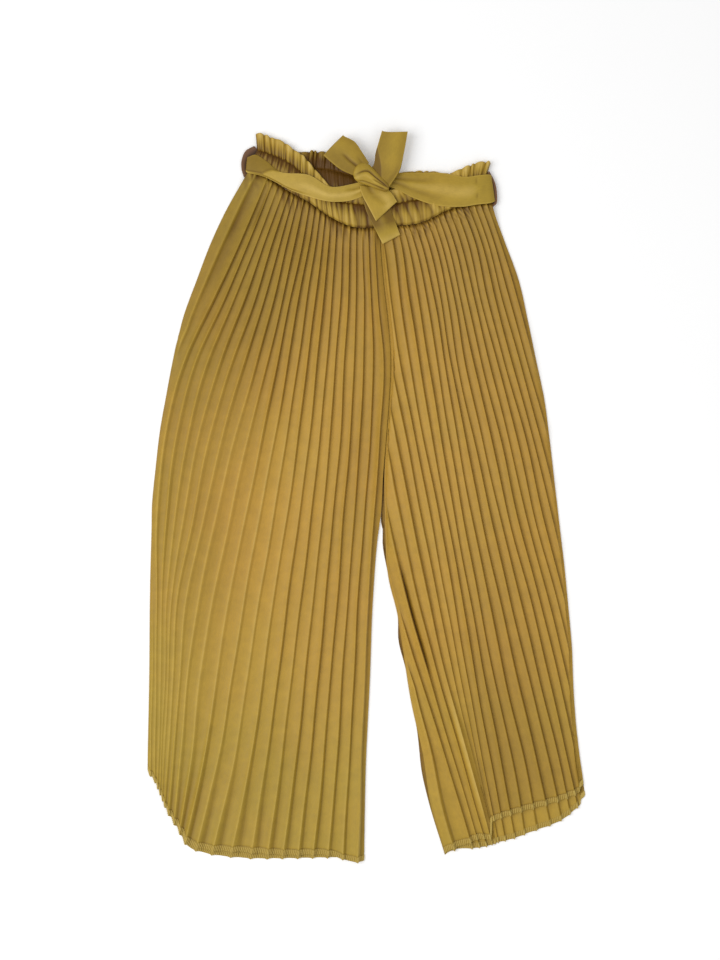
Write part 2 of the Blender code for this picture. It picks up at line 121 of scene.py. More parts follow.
# The heights at which the tables of the pleats' depth and shade are read.
RIGHT_ROWS = (417, 330, 200, 60, -100, -250, -360, -480)
LEFT_ROWS = (403, 330, 200, 60, -100, -250, -360, -480)
# How deep the pleats stand, as a share of their full height: a row is a height and a column a
# pleat. They are pressed nearly flat over the right hip and towards the right leg's outer side.
RIGHT_DEPTH = {
    "height": RIGHT_ROWS,
    0: (0.8, 0.8, 0.9, 0.9, 0.9, 0.9, 0.9, 0.9),
    5: (1, 1, 0.9, 0.8, 0.8, 0.9, 0.9, 0.9),
    8: (1, 1.2, 1, 0.7, 0.7, 0.7, 0.8, 1.1),
    10: (1, 1.3, 1, 0.6, 0.5, 0.6, 0.75, 1.2),
    12: (1, 1.3, 1, 0.55, 0.45, 0.45, 0.75, 1.2),
    14: (1, 1.2, 0.9, 0.45, 0.38, 0.4, 0.65, 1.1),
    17: (0.8, 1, 0.85, 0.45, 0.45, 0.5, 0.6, 0.9),
    20: (0.7, 0.8, 0.8, 0.55, 0.5, 0.45, 0.5, 0.8),
    22: (0.6, 0.5, 0.5, 0.6, 0.6, 0.6, 0.6, 0.8),
}
LEFT_DEPTH = {
    "height": LEFT_ROWS,
    0: (0.6, 0.7, 0.8, 0.7, 0.8, 0.8, 0.8, 0.8),
    2: (0.7, 0.8, 0.8, 0.8, 1.2, 1.2, 0.8, 0.8),
    3: (0.8, 0.9, 0.9, 0.9, 1.3, 1.2, 0.8, 0.8),
    6: (1, 1, 1, 1, 0.9, 0.7, 0.6, 0.6),
    9: (1, 1, 1, 1, 1, 0.9, 0.8, 0.8),
    13: (1, 1, 1, 1, 1, 1, 1, 0.9),
    19: (1, 1, 0.9, 0.9, 0.9, 0.9, 0.9, 0.9),
    25: (0.8, 0.8, 0.8, 0.8, 0.8, 0.8, 0.8, 0.8),
}
# Where in a pleat its fold stands, from the tuck that it drops into: crisp and close to the tuck at
# the waist, and nearly in the middle where the pleats fall open at the right leg's hem.
RIGHT_FOLD = {
    "height": (417, 250, 150, 60, -100, -250, -330, -400, -480),
    0: (0.13, 0.13, 0.13, 0.13, 0.13, 0.13, 0.13, 0.13, 0.16),
    4: (0.13, 0.13, 0.13, 0.13, 0.13, 0.13, 0.14, 0.18, 0.25),
    8: (0.13, 0.13, 0.13, 0.13, 0.13, 0.13, 0.16, 0.26, 0.38),
    11: (0.13, 0.13, 0.13, 0.16, 0.18, 0.17, 0.20, 0.32, 0.42),
    14: (0.13, 0.13, 0.18, 0.30, 0.32, 0.30, 0.32, 0.40, 0.45),
    18: (0.14, 0.14, 0.25, 0.32, 0.30, 0.28, 0.30, 0.38, 0.42),
    22: (0.16, 0.16, 0.25, 0.28, 0.28, 0.28, 0.30, 0.35, 0.40),
}
LEFT_FOLD = {
    "height": (403, 200, -100, -300, -480),
    0: (0.14, 0.14, 0.14, 0.16, 0.18),
    8: (0.15, 0.14, 0.13, 0.13, 0.15),
    16: (0.16, 0.15, 0.14, 0.13, 0.14),
    25: (0.20, 0.18, 0.17, 0.16, 0.16),
}
# The main creases, folds and soft swellings of the fronts: where each starts and ends, its width,
# and how far it stands up, or down if negative.
FRONT_CREASES = {
    "start x": (-137, -147, -126, -160, -150, -90, -60, -176, -120, 58, 150, 215, 130, 40, 103, 122, 128),
    "start y": (430, 408, 412, 392, 300, 250, 180, 60, -250, 300, 200, 60, -150, 60, -240, -270, -300),
    "end x": (-184, -204, -152, -222, -236, -190, -110, -214, -170, 112, 222, 250, 190, 66, 165, 176, 156),
    "end y": (330, 275, 345, 240, 120, -60, -200, -330, -440, 0, -120, -200, -400, -120, -458, -440, -455),
    "width": (3, 3.2, 2.4, 4, 12, 45, 40, 22, 30, 34, 34, 20, 34, 14, 4.4, 4.5, 9),
    "rise": (-1.9, -1.6, -1.3, -1.6, 1, 1.2, 1, -0.8, 1, 1, 0.9, -1, -1, 0.9, 4.6, -1.6, 0.8),
}
# Painted shade: how much darker the colour is painted, read by height and pleat, most near the waist.
RIGHT_PAINTED_SHADE = {
    "height": RIGHT_ROWS,
    0: (0.6, 0.45, 0.25, 0.1, 0.1, 0.05, 0.1, 0),
    3: (0.6, 0.4, 0.12, 0.2, 0.1, 0.05, 0.05, 0.05),
    6: (0.6, 0.4, 0.08, 0, 0.05, 0.05, 0.15, 0.1),
    10: (0.6, 0.4, 0.2, 0, 0.02, 0.05, 0.15, 0.15),
    14: (0.6, 0.45, 0.36, 0.2, 0.22, 0.13, 0.22, 0.26),
    18: (0.5, 0.42, 0.42, 0.3, 0.23, 0.14, 0.18, 0.26),
    22: (0.45, 0.48, 0.42, 0.34, 0.24, 0.18, 0.18, 0.18),
}
LEFT_PAINTED_SHADE = {
    "height": LEFT_ROWS,
    0: (0.5, 0.35, 0.15, 0.05, 0.12, 0.05, 0.05, 0.05),
    6: (0.5, 0.3, 0.05, 0, 0, 0.08, 0.2, 0.1),
    10: (0.5, 0.3, 0.1, 0, 0.1, 0.28, 0.36, 0.2),
    14: (0.5, 0.3, 0.2, 0.1, 0.15, 0.25, 0.32, 0.15),
    19: (0.5, 0.35, 0.2, 0.15, 0.1, 0.08, 0.12, 0.05),
    25: (0.4, 0.35, 0.3, 0.2, 0.15, 0.1, 0.1, 0),
}

# The left front falls open along one tuck below the crotch: its pleat, the middle of the slit, half
# its length, half its width in pleats, its depth and the strength of the painted shade in it.
SLIT_PLEAT, SLIT_HEIGHT, SLIT_LENGTH = 3, -165, 80
SLIT_WIDTH, SLIT_DEPTH, SLIT_SHADE = 0.1, 2.6, 2.6
# Where the dye looks olive rather than warm: a row is a height and a column a distance across.
OLIVE = {
    "height": (440, 330, 200, 0, -200, -330, -480),
    -290: (0.9, 0.9, 0.7, 0.5, 0.8, 1, 1),
    -150: (0.9, 0.6, 0.3, 0, 0.4, 0.8, 1),
    -20: (0.5, 0.2, 0.1, 0.1, 0.3, 0.7, 1),
    150: (0.5, 0.2, 0.1, 0, 0.1, 0.4, 0.8),
    290: (0.5, 0.2, 0.1, 0.1, 0.2, 0.5, 0.7),
}

SATIN_WALL = 0.7  # the cloth, drawn thicker than its 0.3 so that its edges show
TOUCH = 0.35  # gap between two pieces that are sewn together
FRONT_EDGE = 1.7  # top of a front panel along its side seams
FRONT_VALLEY = 3.9  # and in its valleys, away from the side seams
FRONT_CASING = 6.7  # and where it hangs from the casing
BACK_VALLEY = 0.75  # top of a back panel in its valleys, so that it rests on the floor
BACK_CASING = 2.4  # and where it hangs from the casing, above the back of the sash
EDGE_FADE = 5.0  # distance from a side seam over which pleats and swell fade out
SEAM_CLIMB = 25.0  # distance from the centre seam over which the front climbs to it
LIFT_LENGTH = 45.0  # length over which a leg panel climbs to the casing
PLEAT_SLOPE = 0.36  # height of a pleat for each millimetre between two valleys
PLEAT_RISE = 4.6  # height of the tallest pleats
BACK_RISE = 1.5  # and of those pressed under the front panel
BACK_HEM_RISE = 3.0  # and of the back's where they come out below the front hem
BACK_SHOWN = (6, 10)  # how far above the front hem these begin to rise, and over what length
PRESSED = 0.62  # share of their height that the pleats keep under the casing
UNEVEN = (0.16, 0.1)  # how much their height varies along a pleat and from one to the next
UNEVEN_LENGTH = 71  # length of one radian of the wave along a pleat
WANDER = 0.35  # how far the pleats' lines stray from their places
# The waves that they stray by: share, length of one radian, and radians from pleat to pleat.
WANDER_WAVES = ((1.0, 47, 1.9), (0.7, 23, -2.3))
PLEAT_ROOM = 0.7  # least width that a pleat keeps where it turns under at a side seam
EDGE_PLEATS = 2.0  # number of pleats over which the lines are drawn in to the side seams
STEEP_STEPS = (0.0, 0.25, 0.6, 0.88)  # columns on the short face, from tuck to fold
LONG_STEPS = (0.0, 0.08, 0.25, 0.6, 0.92)  # columns on the long face, from fold to the next tuck
LONG_CURVE = 1.7  # how much a strip is hollowed before it rises to its fold
LOW_CURVE = 5.0  # how much more where the pleats are low, which leaves only their folds
PUCKER, PUCKER_LENGTH = 1.1, 22.0  # small gathers of a front right under the casing
PUCKER_PITCH = 0.95  # length of one radian of their wave
SEAM_DIP = 5.0  # length over which a front dips one millimetre into the casing's seam
HEM_BAND = 7.2  # height of the overlocked band along a hem
HEM_DIP, HEM_LINE = 0.7, 1.2  # depth and half width of the needle line above it
TOOTHED = 2.5  # hem points longer than this follow the whole pleat, others its fold
TUCK_WIDTH, TUCK_SHADE = 0.9, 0.62  # half width and strength of the painted shade line in a tuck
PAINTED_HIGHLIGHT_WIDTH, PAINTED_HIGHLIGHT = 1.2, (0.17, 0.26)  # and of the painted highlight on a fold: crisp, and more if soft
OPEN_WIDTH, OPEN_SHADE = 3.2, 0.42  # and of the soft shade where a tuck falls open
OPEN_FROM, OPEN_LENGTH = -330, 110  # where the tucks begin to fall open, and over what length
BACK_TUCK_SHADE = 0.6  # strength of the dark line in a back panel's tucks
BARED_SHADE, BARED_WIDTH = 0.95, 12  # and of the shade where the left back shows at the inseam
SEAM_SHADE, PATCHY_PAINTED_SHADE, PUCKER_SHADE = 0.3, 0.28, 0.45  # and of the front's painted shade under the casing, in uneven patches and on its puckers
DIP_SHADE = 0.6  # and along its seam and its needle line
FRONT_ROWS, BACK_ROWS = 150, 100
HEM_START = 0.982  # share of the way down at which the hem's closer rows take over
HEM_ROWS = np.linspace(0.9855, 1, 9)
HEM_GUESS, FIT_ROUNDS = -470, 6  # first guess at a hem's height, and rounds to fit the rows


def smooth(at, knots, values):
    """Cubic Hermite curve through the values at the knots, its slopes taken from the neighbours."""
    at, knots, values = (np.asarray(a, float) for a in (at, knots, values))
    slopes = np.gradient(values, knots, axis=0)
    start = np.clip(np.searchsorted(knots, at, side="right") - 1, 0, len(knots) - 2)
    span = knots[start + 1] - knots[start]
    t = np.clip((at - knots[start]) / span, 0, 1)

    def pick(table, index):
        return table[index] if table.ndim == 1 else np.take_along_axis(table, index[None], axis=0)[0]

    return (
        (2 * t**3 - 3 * t**2 + 1) * pick(values, start)
        + (t**3 - 2 * t**2 + t) * span * pick(slopes, start)
        + (3 * t**2 - 2 * t**3) * pick(values, start + 1)
        + (t**3 - t**2) * span * pick(slopes, start + 1)
    )


def by_height(table, column, height):
    """A column of a table whose rows run downwards, read at a height."""
    return smooth(-height, -np.array(table["height"], float), table[column])


def table_lines(table, height):
    """The columns of a table other than "height", by their keys, each read at a height."""
    guides = [key for key in table if key != "height"]
    return guides, np.stack([by_height(table, guide, height) for guide in guides])


def over_panel(table, pleat, height):
    """A table read both ways: down its rows by height, and across its columns by pleat."""
    guides, lines = table_lines(table, height)
    return smooth(np.clip(pleat, guides[0], guides[-1]), guides, lines)


def ease(t):
    """A soft step from 0 to 1: three t squared less two t cubed."""
    t = np.clip(t, 0, 1)
    return t * t * (3 - 2 * t)


def bell(distance, width):
    """A soft peak: e to the power of minus the square of a distance over a width."""
    return np.exp(-((distance / width) ** 2))


def pleat_places(table, outline, pleat, height, pleats, back_shows):
    """How far out from the middle line a pleat runs at each height: the table's lines read across,
    kept apart and inside the seams, with the first and last pleats drawn in to end on them."""
    guides, lines = table_lines(table, height)
    beyond = np.maximum(pleat - guides[-1], 0) * (lines[-1] - lines[-2]) / (guides[-1] - guides[-2])
    before = np.maximum(guides[0] - pleat, 0) * (lines[1] - lines[0]) / (guides[1] - guides[0])
    free = smooth(np.clip(pleat, guides[0], guides[-1]), guides, lines) + beyond - before
    inner = by_height(outline, "inner", height) - back_shows
    outer = by_height(outline, "outer", height)
    out = np.clip(free, inner + PLEAT_ROOM * pleat, outer - PLEAT_ROOM * (pleats - pleat))
    out += (inner - out[:, :1]) * ease(1 - pleat / EDGE_PLEATS)
    out += (outer - out[:, -1:]) * ease(1 - (pleats - pleat) / EDGE_PLEATS)
    return np.maximum.accumulate(out - PLEAT_ROOM * pleat, axis=1) + PLEAT_ROOM * pleat


def seam_height(seam, x):
    """The height of the seam from a casing to a leg: a smooth curve through its stations."""
    stations = np.linspace(0, len(seam["x"]) - 1, 200)
    rows = np.arange(len(seam["x"]))
    return np.interp(x, smooth(stations, rows, seam["x"]), smooth(stations, rows, seam["y"]))


def creases(x, y, table):
    """Troughs and ridges along straight lines: each one's rise times a bell across its line, with
    an end that fades over the last third of it. Narrow ones also give painted shade in a trough, and
    below 0 a painted highlight on a ridge that catches the light."""
    total, painted_crease_shading = np.zeros_like(x), np.zeros_like(x)
    for start_x, start_y, end_x, end_y, width, rise in zip(*table.values()):
        line = np.array((end_x - start_x, end_y - start_y), float)
        length = np.linalg.norm(line)
        way = line / length
        along = (x - start_x) * way[0] + (y - start_y) * way[1]
        aside = (y - start_y) * way[0] - (x - start_x) * way[1]
        mark = bell(aside, width) * ease(np.minimum(along, length - along) / length * 3)
        total += rise * mark
        painted_crease_shading += (np.clip(-rise / width - 0.2, 0, 1) - np.clip(rise / width - 0.6, 0, 1)) * mark
    return total, painted_crease_shading


def pleat_columns(side, fold_table, pleats, height):
    """The columns of a panel, some on the short and some on the long face of each pleat: the pleat
    that each lies at, its fold's place, and its share of the way along the short and long face."""
    count = np.repeat(np.arange(pleats), len(STEEP_STEPS) + len(LONG_STEPS))
    steep = np.tile(np.array(STEEP_STEPS + (1.0,) * len(LONG_STEPS)), pleats)
    long = np.tile(np.array((0.0,) * len(STEEP_STEPS) + LONG_STEPS), pleats)
    count, steep, long = np.append(count, pleats), np.append(steep, 0), np.append(long, 0)
    fold = over_panel(fold_table, count + 0.0 * height, height + 0.0 * count)
    pleat = count + (fold * steep + (1 - fold) * long)
    if side < 0:
        return pleat, fold, steep, long
    return pleats - pleat[:, ::-1], fold[:, ::-1], steep[::-1], long[::-1]


def pleat_pitch(out):
    """The width of the pleat round each point: the steps between columns, summed over one pleat."""
    steps = len(STEEP_STEPS) + len(LONG_STEPS)
    wide = np.pad(np.abs(np.gradient(out, axis=1)), ((0, 0), (steps, steps)), "edge")
    return np.stack([np.convolve(row, np.ones(steps), "same") for row in wide])[:, steps:-steps]


def panel_grid(side, leg, layer, down):
    """Where a leg panel's points lie on rows `down` from waist to hem, and what its relief needs.

    A pleat's wave is its share of the way from tuck to fold on the short face, and that share of the
    long face raised to a power. The hem has a tooth at each fold. A pleat's place depends on its
    height, so the rows are fitted between the seam and the hem in a few rounds.
    """
    outline, table, hem, depth_table, fold_table, _, pleats = leg
    seam = FRONT_SEAM if layer == "front" else BACK_SEAM
    waist = np.mean(seam["y"])
    height = waist + down * (HEM_GUESS - waist)
    pleat, fold, steep, long = pleat_columns(side, fold_table, pleats, height)
    depth = over_panel(depth_table, pleat, height + 0 * pleat)
    hollow = LONG_CURVE + LOW_CURVE * np.clip(1 - depth, 0, 1)
    wave = np.where(steep < 1, steep, (1 - long) ** hollow)
    wave[:, [0, -1]] = 0
    points = smooth(pleat[-1], hem["pleat"], hem["points"])
    tooth = np.where(points > TOOTHED, wave[-1], np.maximum(wave[-1] * 4 - 3, 0))
    hem_height = smooth(pleat[-1], hem["pleat"], hem[layer]) - points * tooth
    height, shows = height + 0.0 * pleat, 0.0
    for _ in range(FIT_ROUNDS):
        if layer == "back" and side > 0:
            shows = by_height(LEFT_BACK_SHOWS, "width", height)
        out = pleat_places(table, outline, pleat, height, pleats, shows)
        top = seam_height(seam, side * out[0]) - 1.5 * TOUCH
        height = top + (hem_height - top) * down

    to_inner, to_outer = out - out[:, :1], out[:, -1:] - out
    fade = ease((to_inner - shows) / EDGE_FADE) * ease(to_outer / EDGE_FADE)
    wander = sum(share * np.sin(height / length + turn * pleat) for share, length, turn in WANDER_WAVES)
    out = out + WANDER * wander * fade * ease(down * 8)
    pitch = pleat_pitch(out)
    from_tuck = np.where(steep < 1, steep * fold * pitch, (1 - long) * (1 - fold) * pitch)
    from_fold = np.where(steep < 1, (1 - steep) * fold * pitch, long * (1 - fold) * pitch)
    return SimpleNamespace(
        x=side * out, height=height, below=top - height, hem_height=hem_height, shows=shows,
        to_inner=to_inner, fade=fade, climb=ease(1 - (top - height) / LIFT_LENGTH),
        pleat=pleat, wave=wave, depth=depth, pitch=pitch, short_face=fold * pitch,
        from_tuck=from_tuck, tuck=bell(from_tuck, TUCK_WIDTH), painted_highlight=bell(from_fold, PAINTED_HIGHLIGHT_WIDTH),
    )


def back_relief(side, leg, grid):
    """The top of a back panel as (x, y, z), and its painted shade: a dark line in its tucks, and more
    where it shows beside the left front at the inseam. Its pleats are pressed low under the front and
    rise where they come out below the front hem, which darkens its tucks."""
    hem = leg[2]
    front_hem = smooth(grid.pleat[-1], hem["pleat"], hem["front"])
    shown = ease((front_hem + BACK_SHOWN[0] - grid.height) / BACK_SHOWN[1])
    tallest = BACK_RISE + (BACK_HEM_RISE - BACK_RISE) * shown
    rise = np.minimum(tallest, PLEAT_SLOPE / 2 * grid.pitch * (1 + shown))
    z = BACK_VALLEY + rise * grid.fade * grid.wave + (BACK_CASING - BACK_VALLEY) * grid.climb
    centre_gap = TOUCH / 2 * ease(1 - grid.pleat) * (grid.height > 0)
    bared = BARED_SHADE * ease(grid.shows / 3) * ease(1 - grid.to_inner / BARED_WIDTH)
    surface = np.stack([grid.x + side * centre_gap, grid.height, z], -1)
    return surface, np.clip(BACK_TUCK_SHADE * grid.tuck + bared + 0 * z, 0, 1)


def front_relief(side, leg, grid):
    """The top of a front panel as (x, y, z), and its painted shade and highlight.

    The pleats, creases, puckers and slit stand on a level that climbs to the casing and the centre
    seam. The painted shade is a bell of the distance from a tuck, as strong as the pleat's short face
    is steep, with more in the creases, slit and seams and near the casing, less a painted highlight:
    a bell of the distance from a fold, whose edge gleams.
    """
    x, height, fade, climb = grid.x, grid.height, grid.fade, grid.climb
    seam_top = by_height(leg[0], "seam height", height)
    level = FRONT_EDGE + (FRONT_VALLEY - FRONT_EDGE) * fade
    level = level + (FRONT_CASING - level) * climb * ease(grid.to_inner / SEAM_CLIMB)
    level = level + (seam_top - FRONT_EDGE) * ease(1 - grid.to_inner / SEAM_CLIMB)
    number = np.floor(grid.pleat)
    uneven = 1 + UNEVEN[0] * np.sin(height / UNEVEN_LENGTH + 2.1 * number) + UNEVEN[1] * np.sin(1.7 * number)
    rise = np.minimum(PLEAT_RISE, PLEAT_SLOPE * grid.pitch) * grid.depth * uneven
    rise = rise * fade * (1 - (1 - PRESSED) * climb)
    fold_rise, painted_fold_shading = creases(x, height, FRONT_CREASES)
    needle_line = ease(1 - abs(height - grid.hem_height - HEM_BAND) / HEM_LINE)
    dip = ease(1 - grid.below / SEAM_DIP) + HEM_DIP * needle_line
    near_seam = ease(1 - grid.below / (PUCKER_LENGTH * (1 + 0.4 * np.sin(x / 9))))
    pucker = np.sin(x / PUCKER_PITCH + 2 * np.sin(x / 7)) * near_seam
    slit = 0.0
    if side > 0:
        slit = ease(1 - abs(grid.pleat - SLIT_PLEAT) / SLIT_WIDTH)
        slit = slit * ease(1.6 - 1.6 * abs(height - SLIT_HEIGHT) / SLIT_LENGTH)
    z = level + rise * grid.wave + fold_rise * fade * (1 - climb)
    z = z - (dip + SLIT_DEPTH * slit - PUCKER * pucker) * fade
    steepness = ease((rise / (grid.short_face + 0.3) - 0.4) / 1.4)
    shade = TUCK_SHADE * grid.tuck * steepness + over_panel(leg[5], grid.pleat, height)
    shade = shade + painted_fold_shading + DIP_SHADE * dip
    opened = bell(grid.from_tuck, OPEN_WIDTH) * (1 - steepness) * ease((OPEN_FROM - height) / OPEN_LENGTH)
    # Painted shade under the casing in uneven patches, and painted shade and highlight on the puckers.
    patches = np.sin(x / 3.1 + 2 * np.sin(x / 13) + height / 9)
    shade = shade + OPEN_SHADE * opened + SLIT_SHADE * slit
    shade = shade + (SEAM_SHADE + PATCHY_PAINTED_SHADE * patches) * near_seam - PUCKER_SHADE * pucker
    shade = shade - grid.painted_highlight * fade * (PAINTED_HIGHLIGHT[0] + PAINTED_HIGHLIGHT[1] * (1 - steepness)) * ease(rise / 1.2)
    return np.stack([x, height, z], -1), np.clip(shade, -1, 1.3)


def sheet_faces(rows, columns):
    """The quads of a grid whose rows run down and whose columns run towards +X, facing up."""
    corner = (np.arange(rows - 1)[:, None] * columns + np.arange(columns - 1)).ravel()
    return np.stack([corner, corner + columns, corner + columns + 1, corner + 1], -1)


def paint(mesh, name, values):
    """A number at each point of a mesh, which its material reads as an attribute."""
    layer = mesh.attributes.new(name, "FLOAT", "POINT")
    layer.data.foreach_set("value", np.asarray(values, np.float32).ravel())


def add_object(name, data):
    """An object with its data, linked to the scene."""
    made = bpy.data.objects.new(name, data)
    bpy.context.scene.collection.objects.link(made)
    return made


def add_cloth(mesh, grid, painted_shade_and_highlight, olive, way=1):
    """A piece whose mesh has a grid's points: its UVs are metres along and across the cloth, one
    attribute tells its material how much painted shade a point has, which below 0 is a painted
    highlight, and "olive" how green its dye is."""
    rows, columns = grid.shape[:2]
    steps = np.linalg.norm(np.diff(grid, axis=1), axis=2).mean(0)
    drops = np.linalg.norm(np.diff(grid, axis=0), axis=2).mean(1)
    across, along = np.append(0, np.cumsum(steps)) * MM, way * np.append(0, np.cumsum(drops)) * MM
    place = np.stack(np.broadcast_arrays(across[None, :], along[:, None]), -1).reshape(-1, 2)
    corners = np.empty(len(mesh.loops), np.int32)
    mesh.loops.foreach_get("vertex_index", corners)
    mesh.uv_layers.new(name="cloth").data.foreach_set("uv", place[corners].ravel())
    paint(mesh, "painted_shade_and_highlight", np.broadcast_to(painted_shade_and_highlight, (rows, columns)))
    paint(mesh, "olive", np.broadcast_to(olive, (rows, columns)))
    mesh.shade_smooth()
    return add_object(mesh.name, mesh)


def add_surface(name, grid, painted_shade_and_highlight, olive, wall=SATIN_WALL):
    """A single cloth from a grid of points in millimetres on its top, with Solidify for its wall."""
    mesh = bpy.data.meshes.new(name)
    mesh.from_pydata((grid.reshape(-1, 3) * MM).tolist(), [], sheet_faces(*grid.shape[:2]).tolist())
    piece = add_cloth(mesh, grid, painted_shade_and_highlight, olive, way=-1)
    solidify = piece.modifiers.new("Wall", "SOLIDIFY")
    solidify.thickness = wall * MM
    solidify.offset = -1
    return piece


def linear(code, alpha=1.0):
    """An sRGB hex colour as the linear colour that a shader takes."""
    value = np.array([int(code[i:i + 2], 16) for i in (1, 3, 5)]) / 255
    value = np.where(value <= 0.04045, value / 12.92, ((value + 0.055) / 1.055) ** 2.4)
    return (*value.tolist(), alpha)


def node(tree, kind, settings=None, **links):
    """Add a node with its settings, its input values and the sockets that feed its inputs.

    Inputs are named by their labels with _ for a space, or i0, i1 ... by number."""
    made = tree.nodes.new("ShaderNode" + kind)
    for key, value in (settings or {}).items():
        setattr(made, key, value)
    for key, value in links.items():
        numbered = key[0] == "i" and key[1:].isdigit()
        socket = made.inputs[int(key[1:]) if numbered else key.replace("_", " ")]
        if isinstance(value, bpy.types.NodeSocket):
            tree.links.new(value, socket)
        else:
            socket.default_value = value
    return made


def mixed(tree, share, first, second):
    """The output of a Mix node between two colours."""
    return node(tree, "Mix", {"data_type": "RGBA"}, Factor=share, i6=first, i7=second).outputs[2]


def maths(tree, operation, first, second, **settings):
    """The output of a Math node."""
    return node(tree, "Math", {"operation": operation, **settings}, i0=first, i1=second).outputs[0]


def ranged(tree, value, low, high, to_low, to_high):
    """The output of a Map Range node."""
    return node(tree, "MapRange", Value=value, i1=low, i2=high, i3=to_low, i4=to_high).outputs[0]


SATIN_OLIVE = "#AF9232"  # satin where the dye looks greener
SATIN_WARM = "#BA9034"  # and where it looks warmer
SATIN_PAINTED_HIGHLIGHT = "#DDBD68"  # and its painted highlight, along folds and edges that face the light
SATIN_PAINTED_SHADE = "#5A3900"  # and its painted shade, in tucks, creases and under other pieces
SHEEN_COLOUR = "#DDBB66"
THREAD_PITCH = 0.0011  # metres, drawn coarser than the real 0.2 mm so that the weave shows
FLOAT_LENGTH = THREAD_PITCH / 0.18  # length of a warp float
DYE_PATCHES, MOTTLE = 9.0, 75.0  # to a metre: broad patches of dye, and small ones of painted sheen, lighter and darker


def add_material(name):
    """A new material, its node tree and its shader."""
    material = bpy.data.materials.new(name)
    material.use_nodes = True
    return material, material.node_tree, material.node_tree.nodes["Principled BSDF"]


def polyester_satin(name, painted_shade_share=0.75, roughness=0.5):
    """Woven polyester satin: long warp floats give a soft sheen that runs along the pleats, so the
    gloss is broad and the colour shifts a little with the dye. Painted shade darkens it in tucks,
    creases and under other pieces, and a painted highlight lightens its folds and edges."""
    material, tree, shader = add_material(name)
    place = node(tree, "TexCoord")
    spot = place.outputs["Object"]
    patches = node(tree, "TexNoise", Vector=spot, Scale=DYE_PATCHES, Detail=2.0, Roughness=0.5)
    uneven = ranged(tree, patches.outputs["Fac"], 0.35, 0.65, -0.15, 0.15)
    greener = node(tree, "Attribute", {"attribute_name": "olive"}).outputs["Fac"]
    greened = maths(tree, "ADD", greener, uneven, use_clamp=True)
    dye = mixed(tree, greened, linear(SATIN_WARM), linear(SATIN_OLIVE))
    painted_shade_and_highlight = node(tree, "Attribute", {"attribute_name": "painted_shade_and_highlight"}).outputs["Fac"]
    painted_highlight_share = maths(tree, "MULTIPLY", painted_shade_and_highlight, -1.0)
    painted_highlight = mixed(tree, painted_highlight_share, dye, linear(SATIN_PAINTED_HIGHLIGHT))
    shaded = maths(tree, "MULTIPLY", painted_shade_and_highlight, painted_shade_share)
    cloth = mixed(tree, shaded, painted_highlight, linear(SATIN_PAINTED_SHADE))
    weave_scale = (1 / THREAD_PITCH, 1 / FLOAT_LENGTH, 1)
    weave_place = node(tree, "Mapping", Vector=place.outputs["UV"], Scale=weave_scale).outputs[0]
    floats = node(tree, "TexNoise", Vector=weave_place, Scale=1.0, Detail=3.0, Roughness=0.6).outputs["Fac"]
    mottle = node(tree, "TexNoise", Vector=spot, Scale=MOTTLE, Detail=4.0, Roughness=0.55)
    weave_and_sheen = ranged(tree, maths(tree, "ADD", floats, mottle.outputs["Fac"]), 0.7, 1.3, 0.9, 1.08)
    tone = node(tree, "Mix", {"data_type": "RGBA", "blend_type": "MULTIPLY"}, Factor=1.0, i6=cloth, i7=weave_and_sheen)
    tree.links.new(tone.outputs[2], shader.inputs["Base Color"])
    gloss = ranged(tree, floats, 0.3, 0.7, roughness - 0.05, roughness + 0.08)
    tree.links.new(gloss, shader.inputs["Roughness"])
    weave = node(tree, "Bump", Strength=0.35, Distance=0.0002, Height=floats)
    tree.links.new(weave.outputs[0], shader.inputs["Normal"])
    shader.inputs["Specular IOR Level"].default_value = 0.3
    shader.inputs["Sheen Weight"].default_value = 0.06
    shader.inputs["Sheen Roughness"].default_value = 0.4
    shader.inputs["Sheen Tint"].default_value = linear(SHEEN_COLOUR)
    return material


# Each leg: its tables and its number of pleats.
RIGHT_LEG = (RIGHT_OUTLINE, RIGHT_PLEATS, RIGHT_HEM, RIGHT_DEPTH, RIGHT_FOLD, RIGHT_PAINTED_SHADE, 22)
LEFT_LEG = (LEFT_OUTLINE, LEFT_PLEATS, LEFT_HEM, LEFT_DEPTH, LEFT_FOLD, LEFT_PAINTED_SHADE, 25)
LEGS = {"right_leg": (-1, RIGHT_LEG), "left_leg": (1, LEFT_LEG)}
leg_satin = polyester_satin("pleated_polyester_satin")
leg_surfaces = {}
for leg_name, (side, leg) in LEGS.items():
    for layer, rows in (("front", FRONT_ROWS), ("back", BACK_ROWS)):
        down = np.append(np.linspace(0, HEM_START, rows), HEM_ROWS)[:, None]
        relief = front_relief if layer == "front" else back_relief
        # Each panel's top, and its painted shade and highlight.
        surface, panel_shade_and_highlight = relief(side, leg, panel_grid(side, leg, layer, down))
        if side < 0:
            surface, panel_shade_and_highlight = surface[:, ::-1], panel_shade_and_highlight[:, ::-1]
        panel_name = f"{leg_name}_{layer}"
        olive = over_panel(OLIVE, surface[..., 0], surface[..., 1])
        panel = add_surface(panel_name + "_cloth", surface, panel_shade_and_highlight, olive)
        panel.data.materials.append(leg_satin)
        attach(panel, "root")
        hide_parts(panel_name)
        leg_surfaces[panel_name] = surface
        rest = "floor" if layer == "back" else f"{leg_name}_back_cloth"


# ----------------------------------------------------------------------
# The overlocked hems. Each raw edge is closed by an overlock of polyester thread in the cloth's own
# colour: loops that lie side by side over the edge, and a cord of linked loops along it. Only the
# loops are drawn.
OVERLOCK_THREAD = "#BFA450"
OVERLOCK_PITCH = 2.6  # distance from one loop to the next
LOOP_WIDTH, LOOP_HEIGHT = 0.75, 0.38  # half the width and half the height of a loop's thread
LOOP_STEPS = (0.02, 0.2, 0.5, 0.8, 1.0)  # points of a loop, as shares of the band from its edge
LOOP_LEAN = 0.9  # how far the top of a loop leans over


